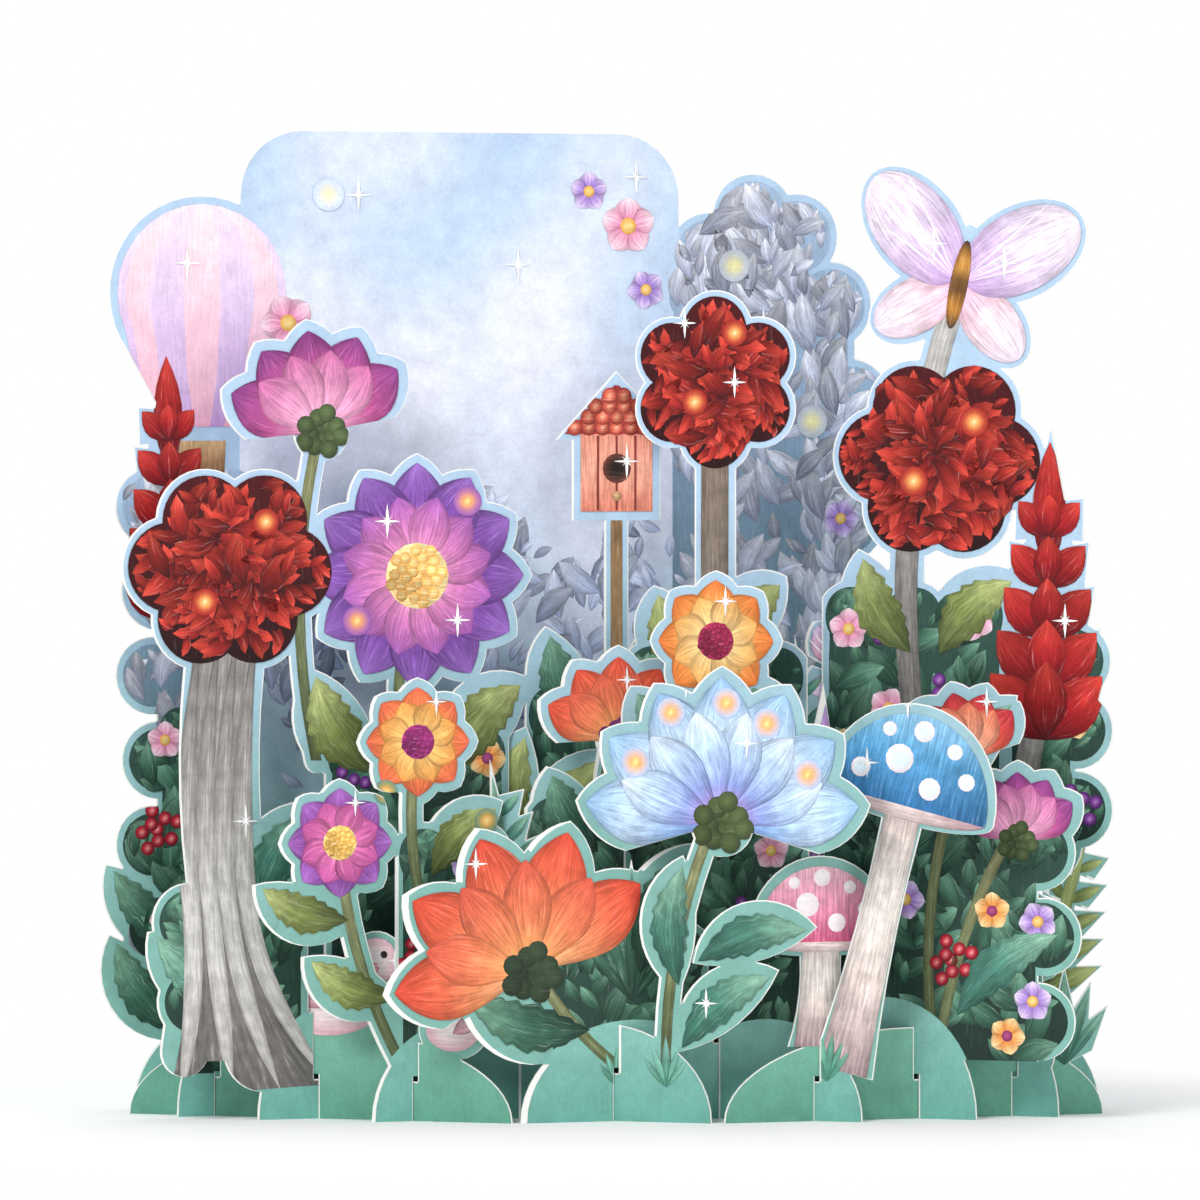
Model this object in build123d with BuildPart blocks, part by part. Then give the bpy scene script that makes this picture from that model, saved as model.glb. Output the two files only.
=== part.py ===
"""Pop up card that stands open as a lattice of ten die-cut card sheets.

Five sheets run from the front left to the back right and five from the front right to the
back left. Wherever two of them cross, each is slit to half of its height and slides into the
other, so that the lattice folds flat. Every sheet is one piece of card with a hill at its
foot and a garden scene above it, cut round with a narrow margin of print.
"""

import os
from math import ceil, cos, radians, sin, sqrt, tan

from build123d import *

# Card and lattice
card_thickness = 0.35
card_height = 178.0
slot_pitch = 19.05
sheet_angle = 20.0
row_count = 5

# Slots
slot_clearance = 0.14
slot_overrun = 0.5
front_meet_height = 7.5
centre_meet_height = 9.0
rear_meet_height = 14.0

# Farthest that the straight cuts of an outline may lie off its curves, and the area of the
# smallest opening that the die cuts out of a sheet
cut_tolerance = 0.05
smallest_opening_area = 12.0

# Print margin round every motif, and the stems that carry them
print_margin = 1.6
stem_width = 4.6
branch_width = 3.8

# Hills at the feet, as shares of the card's height
front_hill_share = 0.092
hill_share = 0.098
back_hill_share = 0.169

# Blooms and leaves
giant_bloom_radius = 22.0
giant_petal_width = 13.0
daisy_radius = 11.5
daisy_petal_width = 9.0
lily_radius = 28.0
lily_petal_width = 15.0
tulip_radius = 17.0
tulip_petal_width = 11.0
leaf_length = 34.0
leaf_width = 12.5
blade_length = 30.0
blade_width = 5.4
fern_length = 40.0
fern_leaflet_length = 13.0
fern_leaflet_width = 5.6
spire_length = 42.0
spire_width = 14.0

trunk_width = 15.0

# Toadstools, balloon, tree, birdhouse, creatures and clouds
toadstool_cap_radius = 14.0
toadstool_cap_height = 15.0
toadstool_stalk_width = 10.0
toadstool_stalk_height = 19.0
balloon_radius = 17.5
balloon_drop = 26.0
basket_width = 10.5
basket_height = 8.5
crown_radius = 9.5
birdhouse_width = 17.0
birdhouse_height = 17.0
birdhouse_roof_height = 10.0
butterfly_wing_length = 26.0
butterfly_wing_width = 17.0
bird_length = 24.5
bird_height = 14.5
cloud_radius = 8.0
puff_radius = 7.0

# The sky board of the rearmost sheet, its edges in columns from the middle of the lattice
board_left_share = -3.78
board_right_share = 0.64
board_shoulder_radius = 12.0
board_top_share = 0.995

# Places of the balloon, the birdhouse, the tree and the puffs of the bush
balloon_column_share = -4.15
balloon_rise_share = 0.83
birdhouse_foot_share = 0.12
birdhouse_post_share = 0.48
tree_foot_share = 0.12
tree_trunk_share = 0.62
bush_place_shares = ((0, 0), (-1.2, 0.1), (-0.5, 1.0), (0.7, 1.0), (1.2, 0), (0.5, -0.9), (-0.6, -0.9))

# What follows from the driving dimensions
front_hill_height = front_hill_share * card_height
hill_height = hill_share * card_height
back_hill_height = back_hill_share * card_height
across = cos(radians(sheet_angle))
along = sin(radians(sheet_angle))
crossing_angle = radians(2 * sheet_angle)
slot_width = card_thickness / sin(crossing_angle) + card_thickness / tan(crossing_angle) + slot_clearance
row_depth = slot_pitch * along
row_step = 2
middle_row = 5.1664
middle_column = -0.0778


def left_plane(row):
    """Upright plane of a sheet that runs from the front left to the back right."""
    origin = (-middle_column * slot_pitch * across, (row - middle_row) * row_depth, 0)
    return Plane(origin=origin, x_dir=(across, along, 0), z_dir=(along, -across, 0))


def right_plane(row):
    """Upright plane of a sheet that runs from the front right to the back left."""
    origin = (-middle_column * slot_pitch * across, (row - middle_row) * row_depth, 0)
    return Plane(origin=origin, x_dir=(across, -along, 0), z_dir=(-along, -across, 0))


def at(column, rise_share, turn=0):
    """Place on a sheet: columns from the middle, share of the card's height, turn in degrees."""
    return Location((column * slot_pitch, rise_share * card_height), turn)


def straight_ring(wire):
    """Closed run of straight cuts that follows a wire, by the bulge of each quarter of an edge."""
    points = []
    for edge in wire.order_edges():
        places = [edge @ (number / 8) for number in range(9)]
        bulge = max(
            (places[number + 1] - (places[number] + places[number + 2]) / 2).length
            for number in (0, 2, 4, 6)
        )
        cuts = max(1, ceil(4 * sqrt(bulge / cut_tolerance))) if bulge > cut_tolerance / 100 else 1
        run = [edge @ (number / cuts) for number in range(cuts + 1)]
        if points and (run[-1] - points[-1]).length < (run[0] - points[-1]).length:
            run.reverse()
        points += run[1:] if points else run
    return points


def straight_cuts(sketch):
    """The same outlines in short straight cuts, without the openings too small to cut."""
    faces = []
    for face in sketch.faces():
        openings = [ring for ring in face.inner_wires() if Face(ring).area > smallest_opening_area]
        rings = [
            Wire.make_polygon(straight_ring(ring)[:-1], close=True)
            for ring in (face.outer_wire(), *openings)
        ]
        faces.append(Face(rings[0], rings[1:]))
    return faces


def mound(half_width, height):
    """Upper half of an ellipse with its flat edge on the table."""
    with BuildSketch() as shape:
        with BuildLine():
            EllipticalCenterArc((0, 0), half_width, height, arc_size=180)
            Line((-half_width, 0), (half_width, 0))
        make_face()
    return shape.sketch


def hill(from_column, to_column, height):
    """Mound whose foot runs from one column to another."""
    half_width = (to_column - from_column) / 2 * slot_pitch
    return mound(half_width, height).locate(Location(((to_column + from_column) / 2 * slot_pitch, 0)))


def leaf(length, width, bend_share=0.1):
    """Pointed leaf of two arcs from its root along X, bent by a share of its length."""
    bend = length * bend_share
    with BuildSketch() as shape:
        with BuildLine():
            ThreePointArc((0, 0), (length / 2, width / 2 + bend), (length, 0))
            ThreePointArc((length, 0), (length / 2, bend - width / 2), (0, 0))
        make_face()
    return shape.sketch


def blade(length, width):
    """Narrow blade of four straight cuts from its root along X."""
    with BuildSketch() as shape:
        with BuildLine():
            Polyline((0, 0), (length * 0.4, width / 2), (length, 0), (length * 0.4, -width / 2), close=True)
        make_face()
    return shape.sketch


def stalk(foot_share, head_share, width, bow_share=0.06):
    """Bowed stem between two places, each a column and a share of the card's height."""
    foot = Vector(foot_share[0] * slot_pitch, foot_share[1] * card_height)
    head = Vector(head_share[0] * slot_pitch, head_share[1] * card_height)
    run = head - foot
    middle = (foot + head) / 2 + Vector(-run.Y, run.X) * bow_share
    with BuildSketch() as shape:
        SlotArc(ThreePointArc(foot, middle, head), width)
    return shape.sketch


def petal(length, width):
    """Petal with a short point, from its root along X, widest past its middle."""
    shoulder = Vector(length * 0.62, width / 2)
    tip = Vector(length, 0)
    bulge = (shoulder + tip) / 2 + (tip - shoulder).rotate(Axis.Z, 90) * 0.14
    with BuildSketch() as shape:
        with BuildLine():
            Line((0, 0), shoulder)
            ThreePointArc(shoulder, bulge, tip)
            ThreePointArc(tip, (bulge.X, -bulge.Y), (shoulder.X, -shoulder.Y))
            Line((shoulder.X, -shoulder.Y), (0, 0))
        make_face()
    return shape.sketch


def daisy(radius, petal_width, petals):
    """Open flower seen from the front: pointed petals round a disc."""
    with BuildSketch() as shape:
        Circle(radius * 0.5)
        with PolarLocations(0, petals, start_angle=90):
            add(petal(radius, petal_width))
    return shape.sketch


def lily(radius, petal_width, petals, spread):
    """Flower seen from the side: petals fanned out above a cup, from its root up Y."""
    with BuildSketch() as shape:
        Circle(petal_width * 0.4)
        for number in range(petals):
            turn = 90 + spread * (number / (petals - 1) - 0.5)
            with Locations(Location((0, 0), turn)):
                add(petal(radius, petal_width))
    return shape.sketch


def fern(length, leaflet_length, leaflet_width, pairs):
    """Midrib along X with pairs of leaflets that shorten towards the tip."""
    with BuildSketch() as shape:
        add(blade(length, leaflet_width))
        for number in range(pairs):
            share = (number + 1) / (pairs + 1)
            leaflet = blade(leaflet_length * (1.15 - 0.7 * share), leaflet_width)
            for side in (-1, 1):
                with Locations(Location((length * share * 0.85, 0), side * 52)):
                    add(leaflet)
    return shape.sketch


def spire(length, width, tiers):
    """Flower spike along X: tiers of pointed florets that shorten towards the tip."""
    with BuildSketch() as shape:
        add(blade(length, width * 0.7))
        for number in range(tiers):
            share = number / tiers
            for side in (-1, 1):
                with Locations(Location((length * share * 0.8, 0), side * 42)):
                    add(blade(width * (0.8 - 0.42 * share), width * 0.5))
    return shape.sketch


def tuft(length, width, blades):
    """Fan of narrow grass blades from one root, up Y."""
    with BuildSketch() as shape:
        for number in range(blades):
            lean = number / (blades - 1) - 0.5
            with Locations(Location((0, 0), 90 + 78 * lean)):
                add(blade(length * (1 - abs(lean) * 0.5), width))
    return shape.sketch


def toadstool(cap_radius, cap_height, stalk_width, stalk_height):
    """Domed cap on a stalk that widens to its foot, standing on Y zero."""
    with BuildSketch() as shape:
        with BuildLine():
            foot = stalk_width * 0.62
            neck = stalk_width * 0.42
            ThreePointArc((-foot, 0), (-neck * 0.95, stalk_height * 0.55), (-neck, stalk_height))
            Line((-neck, stalk_height), (neck, stalk_height))
            ThreePointArc((neck, stalk_height), (neck * 0.95, stalk_height * 0.55), (foot, 0))
            Line((foot, 0), (-foot, 0))
        make_face()
        with Locations((0, stalk_height)):
            add(mound(cap_radius, cap_height))
            Ellipse(cap_radius, cap_height * 0.2)
    return shape.sketch


def balloon(radius, drop, basket_wide, basket_high):
    """Round envelope about the origin that narrows to ropes and a basket below it."""
    with BuildSketch() as shape:
        Circle(radius)
        with BuildLine():
            Polyline(
                (-radius * 0.8, -radius * 0.6),
                (radius * 0.8, -radius * 0.6),
                (basket_wide / 2, -drop),
                (-basket_wide / 2, -drop),
                close=True,
            )
        make_face()
        with Locations((0, -drop - basket_high / 2)):
            RectangleRounded(basket_wide, basket_high, print_margin)
    return shape.sketch


def tree(radius, trunk_width, trunk_height):
    """Round crown of six lobes on a straight trunk that stands on Y zero."""
    with BuildSketch() as shape:
        with Locations((0, trunk_height / 2)):
            Rectangle(trunk_width, trunk_height)
        with Locations((0, trunk_height)):
            Circle(radius)
            with PolarLocations(radius, 6, start_angle=90):
                Circle(radius * 0.75)
    return shape.sketch


def birdhouse(width, height, roof_height, post_width, post_height):
    """Small gabled house on a post that stands on Y zero."""
    eave = width * 0.68
    with BuildSketch() as shape:
        with Locations((0, post_height / 2)):
            Rectangle(post_width, post_height)
        with Locations((0, post_height + height / 2)):
            Rectangle(width, height)
        with BuildLine():
            Polyline(
                (-eave, post_height + height * 0.86),
                (eave, post_height + height * 0.86),
                (0, post_height + height + roof_height),
                close=True,
            )
        make_face()
    return shape.sketch


def butterfly(wing_length, wing_width):
    """Open butterfly about the origin, head towards Y, two long and two short wings."""
    with BuildSketch() as shape:
        Ellipse(wing_width * 0.2, wing_length * 0.42)
        for side in (-1, 1):
            for turn, size in ((38, 1.0), (-38, 0.72)):
                wing = Ellipse(wing_length * size / 2, wing_width * size / 2, mode=Mode.PRIVATE)
                heading = turn if side > 0 else 180 - turn
                with Locations(Location((0, 0), heading)):
                    add(wing.moved(Location((wing_length * size / 2, 0))))
    return shape.sketch


def small_butterfly(wing_length, wing_width):
    """Butterfly with pointed wings about the origin, head towards Y."""
    with BuildSketch() as shape:
        for turn in (38, 142, -38, 218):
            with Locations(Location((0, 0), turn)):
                add(petal(wing_length * (1 if turn in (38, 142) else 0.75), wing_width))
    return shape.sketch


def bird(length, height):
    """Plump sitting bird facing X: body, head, beak and raised tail, on Y zero."""
    with BuildSketch() as shape:
        with Locations((0, height / 2)):
            Ellipse(length / 2, height / 2)
        with Locations((length * 0.4, height * 1.05)):
            Circle(height * 0.36)
        with Locations(Location((length * 0.34, height * 0.9), -14)):
            add(leaf(length * 0.36, height * 0.3))
        with Locations(Location((-length * 0.3, height * 0.5), 158)):
            add(leaf(length * 0.52, height * 0.5))
        with Locations(Location((0, height * 0.45), 148)):
            add(leaf(length * 0.55, height * 0.55))
    return shape.sketch


def cloud(radius, places):
    """Bank of round puffs of one size, from a table of places in radii."""
    with BuildSketch() as shape:
        with Locations([(x * radius, y * radius) for x, y in places]):
            Circle(radius)
    return shape.sketch


def hedge(from_column, to_column, foot_share, rise_share, lobes):
    """Bank of foliage between two columns with a row of shallow lobes along its top."""
    left = from_column * slot_pitch
    chord = (to_column - from_column) * slot_pitch / lobes
    foot = foot_share * card_height
    crown = rise_share * card_height
    eave = crown - chord * 0.28
    with BuildSketch() as shape:
        with BuildLine():
            for number in range(lobes):
                start = left + chord * number
                ThreePointArc((start, eave), (start + chord / 2, crown), (start + chord, eave))
            right = left + chord * lobes
            Polyline((right, eave), (right, foot), (left, foot), (left, eave))
        make_face()
    return shape.sketch


def slot_below(column, meet_height):
    """Slot from the foot of a sheet up to where it meets the other."""
    with Locations((column * slot_pitch, 0)):
        Rectangle(
            slot_width,
            meet_height + slot_overrun,
            align=(Align.CENTER, Align.MIN),
            mode=Mode.SUBTRACT,
        )


def slot_above(column, meet_height):
    """Slot from where a sheet meets the other up through its top edge."""
    with Locations((column * slot_pitch, meet_height - slot_overrun)):
        Rectangle(
            slot_width,
            back_hill_height,
            align=(Align.CENTER, Align.MIN),
            mode=Mode.SUBTRACT,
        )


def meet_height(left_row, right_row):
    """Height at which two sheets stop in each other's slots."""
    if min(left_row, right_row) == 0:
        return front_meet_height
    if left_row == right_row == row_step:
        return centre_meet_height
    return rear_meet_height


def left_slots(row, right_rows):
    """Slots of a left sheet: from below at even columns and in the sky sheet, else from above."""
    for right_row in right_rows:
        column = (right_row - row) // row_step
        height = meet_height(row, right_row)
        if column % 2 == 0 or row == row_step * (row_count - 1):
            slot_below(column, height)
        else:
            slot_above(column, height)


def right_slots(row, left_rows):
    """Slots of a right sheet: the counterpart of each left sheet's slot."""
    for left_row in left_rows:
        column = (row - left_row) // row_step
        height = meet_height(left_row, row)
        if column % 2 == 0 or left_row == row_step * (row_count - 1):
            slot_above(column, height)
        else:
            slot_below(column, height)


# Front left hill, with two sitting birds
with BuildPart() as front_left_hill:
    with BuildSketch(right_plane(0), mode=Mode.PRIVATE) as outline:
        add(hill(-4.9, -1.03, front_hill_height))
        with Locations(at(-2.9, 0.075)):
            add(bird(bird_length, bird_height))
        with Locations(at(-1.62, 0.062)):
            add(mirror(bird(bird_length * 0.54, bird_height * 0.72), Plane.YZ, mode=Mode.PRIVATE))
        right_slots(0, (4, 6, 8))
    extrude(straight_cuts(outline.sketch), amount=card_thickness / 2, both=True)

# Front right hill, with two toadstools and a tuft of grass
with BuildPart() as front_right_hill:
    with BuildSketch(left_plane(0), mode=Mode.PRIVATE) as outline:
        add(hill(1.07, 4.9, front_hill_height))
        with Locations(at(2.03, 0.075)):
            add(
                toadstool(
                    toadstool_cap_radius,
                    toadstool_cap_height,
                    toadstool_stalk_width,
                    toadstool_stalk_height,
                )
            )
        with Locations(at(3.9, 0.08)):
            add(
                toadstool(
                    toadstool_cap_radius * 0.72,
                    toadstool_cap_height * 0.76,
                    toadstool_stalk_width * 0.8,
                    toadstool_stalk_height * 0.6,
                )
            )
        with Locations(at(4.5, 0.05)):
            add(tuft(blade_length * 0.6, blade_width, 5))
        left_slots(0, (4, 6, 8))
    extrude(straight_cuts(outline.sketch), amount=card_thickness / 2, both=True)

# Centre left sheet, with the purple lily that leans out to the left
with BuildPart() as centre_left_sheet:
    with BuildSketch(left_plane(2), mode=Mode.PRIVATE) as outline:
        add(hill(-0.95, 1.3, hill_height))
        add(hill(0.4, 3.2, hill_height * 1.1))
        add(hill(2.4, 4.9, hill_height * 1.1))
        add(hedge(-0.7, 0.92, 0.05, 0.2, 3))
        add(hedge(1.08, 2.92, 0.05, 0.24, 3))
        add(stalk((0.2, 0.04), (-0.85, 0.16), stem_width))
        with Locations(at(-0.85, 0.15, 22)):
            add(lily(lily_radius, lily_petal_width, 5, 150))
        with Locations(at(-0.2, 0.09, 165), at(0.2, 0.14, 64)):
            add(leaf(leaf_length * 0.8, leaf_width))
        with Locations(at(0.15, 0.12)):
            add(tuft(blade_length * 0.84, blade_width, 5))
        add(stalk((1.8, 0.08), (2.0, 0.24), stem_width))
        with Locations(at(2.0, 0.2, 88)):
            add(spire(spire_length, spire_width, 6))
        with Locations(at(1.95, 0.16, 118), at(2.1, 0.16, 50)):
            add(leaf(leaf_length * 0.62, leaf_width * 0.8))
        add(hedge(3.1, 4.5, 0.05, 0.22, 2))
        with Locations(at(3.75, 0.09, 98), at(4.18, 0.09, 72)):
            add(fern(fern_length, fern_leaflet_length, fern_leaflet_width, 5))
        left_slots(2, (2, 4, 6, 8))
    extrude(straight_cuts(outline.sketch), amount=card_thickness / 2, both=True)

# Centre right sheet, with the pale lily that leans out to the right
with BuildPart() as centre_right_sheet:
    with BuildSketch(right_plane(2), mode=Mode.PRIVATE) as outline:
        add(hill(-1.3, 0.95, hill_height))
        add(hill(-3.2, -0.4, hill_height * 1.1))
        add(hill(-4.9, -2.4, hill_height * 1.1))
        add(hedge(-1.92, -0.08, 0.05, 0.24, 3))
        add(stalk((0.5, 0.05), (1.05, 0.32), stem_width))
        with Locations(at(1.05, 0.3)):
            add(lily(lily_radius, lily_petal_width, 7, 165))
        with Locations(at(0.6, 0.07, 38), at(0.75, 0.16, 16), at(0.62, 0.13, 88)):
            add(leaf(leaf_length * 0.72, leaf_width * 0.86))
        with Locations(at(-1.0, 0.16, 98)):
            add(fern(fern_length * 0.9, fern_leaflet_length, fern_leaflet_width, 5))
        with Locations(at(-0.8, 0.14, 54), at(-1.15, 0.14, 118)):
            add(leaf(leaf_length * 0.58, leaf_width))
        add(hedge(-4.5, -3.1, 0.05, 0.2, 2))
        with Locations(at(-4.2, 0.09, 104)):
            add(fern(fern_length * 0.9, fern_leaflet_length, fern_leaflet_width, 5))
        right_slots(2, (2, 4, 6, 8))
    extrude(straight_cuts(outline.sketch), amount=card_thickness / 2, both=True)

# Left front sheet, with daisies that lean out over the front left hill
with BuildPart() as left_front_sheet:
    with BuildSketch(left_plane(4), mode=Mode.PRIVATE) as outline:
        add(hill(-2.43, -0.6, hill_height))
        add(hill(-1.4, 1.5, back_hill_height * 0.8))
        add(hill(0.4, 2.6, back_hill_height * 0.7))
        add(hedge(-2.2, -1.08, 0.05, 0.3, 2))
        add(hedge(-0.92, 0.92, 0.05, 0.33, 3))
        add(hedge(1.08, 2.4, 0.05, 0.36, 3))
        add(stalk((-2.1, 0.05), (-2.75, 0.28), stem_width))
        add(stalk((-1.9, 0.2), (-1.98, 0.38), stem_width))
        with Locations(at(-2.75, 0.28), at(-1.98, 0.38)):
            add(daisy(daisy_radius, daisy_petal_width, 8))
        with Locations(at(-2.15, 0.12, 156), at(-1.9, 0.24, 44), at(-2.6, 0.2, 160)):
            add(leaf(leaf_length * 0.6, leaf_width * 0.85))
        add(stalk((-0.1, 0.28), (0.02, 0.4), stem_width))
        with Locations(at(0.02, 0.38)):
            add(lily(tulip_radius, tulip_petal_width, 5, 130))
        with Locations(at(-0.15, 0.26, 122), at(0.2, 0.26, 46)):
            add(leaf(leaf_length * 0.58, leaf_width))
        with Locations(at(1.95, 0.26, 94)):
            add(fern(fern_length, fern_leaflet_length, fern_leaflet_width, 5))
        with Locations(at(2.1, 0.28, 50), at(1.6, 0.28, 106)):
            add(leaf(leaf_length * 0.6, leaf_width * 0.8))
        add(stalk((2.0, 0.3), (2.32, 0.44), branch_width))
        with Locations(at(2.32, 0.44, -20)):
            add(small_butterfly(butterfly_wing_length * 0.46, butterfly_wing_width * 0.5))
        left_slots(4, (0, 2, 4, 6, 8))
    extrude(straight_cuts(outline.sketch), amount=card_thickness / 2, both=True)

# Right front sheet, with the large toadstool that leans out over the front right hill
with BuildPart() as right_front_sheet:
    with BuildSketch(right_plane(4), mode=Mode.PRIVATE) as outline:
        add(hill(0.6, 2.45, hill_height))
        add(hill(-1.5, 1.4, back_hill_height * 0.8))
        add(hill(-2.6, -0.4, back_hill_height * 0.7))
        add(hedge(0.08, 1.92, 0.05, 0.32, 3))
        add(hedge(-1.92, -0.08, 0.05, 0.32, 3))
        with Locations(at(2.25, 0.05, -14)):
            add(
                toadstool(
                    toadstool_cap_radius * 1.2,
                    toadstool_cap_height * 1.2,
                    toadstool_stalk_width * 0.95,
                    toadstool_stalk_height * 2.6,
                )
            )
        add(stalk((0.9, 0.26), (1.0, 0.48), stem_width))
        with Locations(at(1.0, 0.48)):
            add(daisy(daisy_radius * 1.1, daisy_petal_width * 1.1, 8))
        with Locations(at(0.8, 0.27, 112), at(1.15, 0.27, 48), at(0.86, 0.36, 136), at(0.86, 0.38, 24)):
            add(leaf(leaf_length * 0.56, leaf_width))
        with Locations(at(-1.0, 0.24, 86), at(-0.8, 0.24, 58), at(-1.2, 0.24, 112)):
            add(leaf(leaf_length * 0.8, leaf_width))
        right_slots(4, (0, 2, 4, 6, 8))
    extrude(straight_cuts(outline.sketch), amount=card_thickness / 2, both=True)

# Left middle sheet, with the giant bloom, a leafy tree, a tall lily and the birdhouse
with BuildPart() as left_middle_sheet:
    with BuildSketch(left_plane(6), mode=Mode.PRIVATE) as outline:
        add(hill(-3.58, -1.8, hill_height * 1.2))
        add(hill(-2.6, 0.4, back_hill_height * 0.9))
        add(hill(-0.6, 1.7, back_hill_height * 0.9))
        add(hedge(-2.92, -1.08, 0.06, 0.4, 3))
        add(hedge(-0.92, 0.92, 0.06, 0.44, 3))
        add(hedge(-4.3, -3.08, 0.06, 0.22, 2))
        add(stalk((-3.52, 0.07), (-3.85, 0.5), trunk_width))
        add(stalk((-4.3, 0.07), (-3.72, 0.24), trunk_width * 0.6))
        add(stalk((-3.1, 0.06), (-3.62, 0.22), trunk_width * 0.6))
        with Locations(at(-4.25, 0.2), at(-4.2, 0.12)):
            Circle(puff_radius)
        with Locations(at(-3.85, 0.55)):
            add(cloud(cloud_radius * 1.15, bush_place_shares))
        with Locations(at(-3.6, 0.12, 148), at(-3.6, 0.2, 62)):
            add(leaf(leaf_length * 0.7, leaf_width))
        add(stalk((-3.0, 0.36), (-2.95, 0.7), stem_width))
        with Locations(at(-2.95, 0.69, 8)):
            add(lily(tulip_radius * 1.2, tulip_petal_width * 1.2, 5, 120))
        add(stalk((-2.1, 0.3), (-2.0, 0.545), stem_width))
        with Locations(at(-2.0, 0.545)):
            add(daisy(giant_bloom_radius, giant_petal_width, 12))
        with Locations(at(-2.4, 0.34, 122), at(-1.7, 0.34, 50)):
            add(leaf(leaf_length * 0.7, leaf_width * 1.1))
        with Locations(at(0.0, birdhouse_foot_share)):
            add(
                birdhouse(
                    birdhouse_width,
                    birdhouse_height,
                    birdhouse_roof_height,
                    stem_width,
                    birdhouse_post_share * card_height,
                )
            )
        with Locations(at(-0.2, 0.38, 116), at(0.2, 0.4, 54)):
            add(leaf(leaf_length * 0.66, leaf_width))
        left_slots(6, (0, 2, 4, 6, 8))
    extrude(straight_cuts(outline.sketch), amount=card_thickness / 2, both=True)

# Right middle sheet, with tulips that lean out to the right and a tall tree
with BuildPart() as right_middle_sheet:
    with BuildSketch(right_plane(6), mode=Mode.PRIVATE) as outline:
        add(hill(1.8, 3.6, hill_height * 1.2))
        add(hill(-0.4, 2.6, back_hill_height * 0.9))
        add(hill(-1.7, 0.6, back_hill_height * 0.9))
        add(hedge(2.08, 4.2, 0.06, 0.33, 3))
        with Locations(at(4.2, 0.1), at(4.26, 0.185), at(4.2, 0.27), at(3.95, 0.31)):
            Circle(puff_radius)
        add(hedge(0.08, 1.92, 0.06, 0.48, 3))
        add(stalk((3.2, 0.04), (4.0, 0.3), stem_width))
        add(stalk((3.15, 0.1), (3.5, 0.37), stem_width))
        with Locations(at(4.0, 0.28), at(3.5, 0.36, 12)):
            add(lily(tulip_radius * 0.86, tulip_petal_width * 0.9, 5, 110))
        with Locations(at(3.35, 0.1, 38), at(3.0, 0.27, 90), at(3.2, 0.3, 56)):
            add(leaf(leaf_length * 0.8, leaf_width * 0.9))
        with Locations(at(1.0, tree_foot_share)):
            add(tree(crown_radius, stem_width * 1.7, tree_trunk_share * card_height))
        with Locations(at(0.85, 0.44, 118), at(1.1, 0.46, 52)):
            add(leaf(leaf_length * 0.56, leaf_width))
        right_slots(6, (0, 2, 4, 6, 8))
    extrude(straight_cuts(outline.sketch), amount=card_thickness / 2, both=True)

# Sky sheet at the back, with the plain board, the balloon, a spire and banks of leaves
with BuildPart() as sky_sheet:
    with BuildSketch(left_plane(8), mode=Mode.PRIVATE) as outline:
        add(hill(-4.4, -2.8, hill_height * 1.3))
        with BuildLine():
            left_edge = board_left_share * slot_pitch
            right_edge = board_right_share * slot_pitch
            board_top = board_top_share * card_height
            FilletPolyline(
                (left_edge, 0),
                (left_edge, board_top),
                (right_edge, board_top),
                (right_edge, 0),
                radius=board_shoulder_radius,
            )
            Line((right_edge, 0), (left_edge, 0))
        make_face()
        add(hedge(0.5, 2.45, 0.0, 0.86, 5))
        with Locations(at(0.95, 0.87), at(1.4, 0.91), at(1.85, 0.89), at(2.2, 0.82), at(2.4, 0.72)):
            Circle(cloud_radius)
        with Locations(at(2.35, 0.6), at(2.42, 0.48), at(2.35, 0.36)):
            Circle(cloud_radius)
        with Locations(at(balloon_column_share, balloon_rise_share)):
            add(balloon(balloon_radius, balloon_drop, basket_width, basket_height))
        add(hedge(-4.6, -3.6, 0.16, 0.66, 2))
        with Locations([at(-4.58 - 0.06 * (number % 2), 0.19 + 0.085 * number) for number in range(6)]):
            Circle(puff_radius)
        add(hedge(-4.35, -3.6, 0.06, 0.3, 1))
        with Locations(at(-4.42, 0.5, 92)):
            add(spire(spire_length * 1.2, spire_width * 1.3, 5))
        with Locations(at(-4.3, 0.08, 128), at(-4.15, 0.17, 140)):
            add(leaf(leaf_length * 0.7, leaf_width * 0.9))
        left_slots(8, (0, 2, 4, 6, 8))
    extrude(straight_cuts(outline.sketch), amount=card_thickness / 2, both=True)

# Right back sheet, with the large butterfly above a flowering bush and a tall spire
with BuildPart() as right_back_sheet:
    with BuildSketch(right_plane(8), mode=Mode.PRIVATE) as outline:
        add(hill(2.6, 4.44, hill_height * 1.3))
        add(hill(0.4, 3.4, back_hill_height * 0.9))
        add(hill(-1.2, 1.6, back_hill_height * 0.9))
        add(hedge(2.08, 3.92, 0.06, 0.54, 3))
        add(hedge(3.9, 4.6, 0.28, 0.46, 2))
        with Locations(at(3.95, 0.29), at(4.3, 0.275), at(4.6, 0.31), at(4.6, 0.39), at(4.58, 0.46)):
            Circle(puff_radius)
        add(stalk((4.2, 0.06), (4.3, 0.44), stem_width * 1.6))
        with Locations(at(4.3, 0.38, 89)):
            add(spire(spire_length * 1.35, spire_width * 1.5, 5))
        add(stalk((3.0, 0.4), (3.4, 0.82), stem_width * 1.5))
        with Locations(at(3.25, 0.66)):
            add(cloud(cloud_radius * 1.15, bush_place_shares))
        with Locations(at(3.45, 0.84, -12)):
            add(butterfly(butterfly_wing_length, butterfly_wing_width))
        with Locations(at(3.2, 0.46, 44), at(3.0, 0.46, 118)):
            add(leaf(leaf_length * 0.66, leaf_width))
        right_slots(8, (0, 2, 4, 6, 8))
    extrude(straight_cuts(outline.sketch), amount=card_thickness / 2, both=True)

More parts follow.
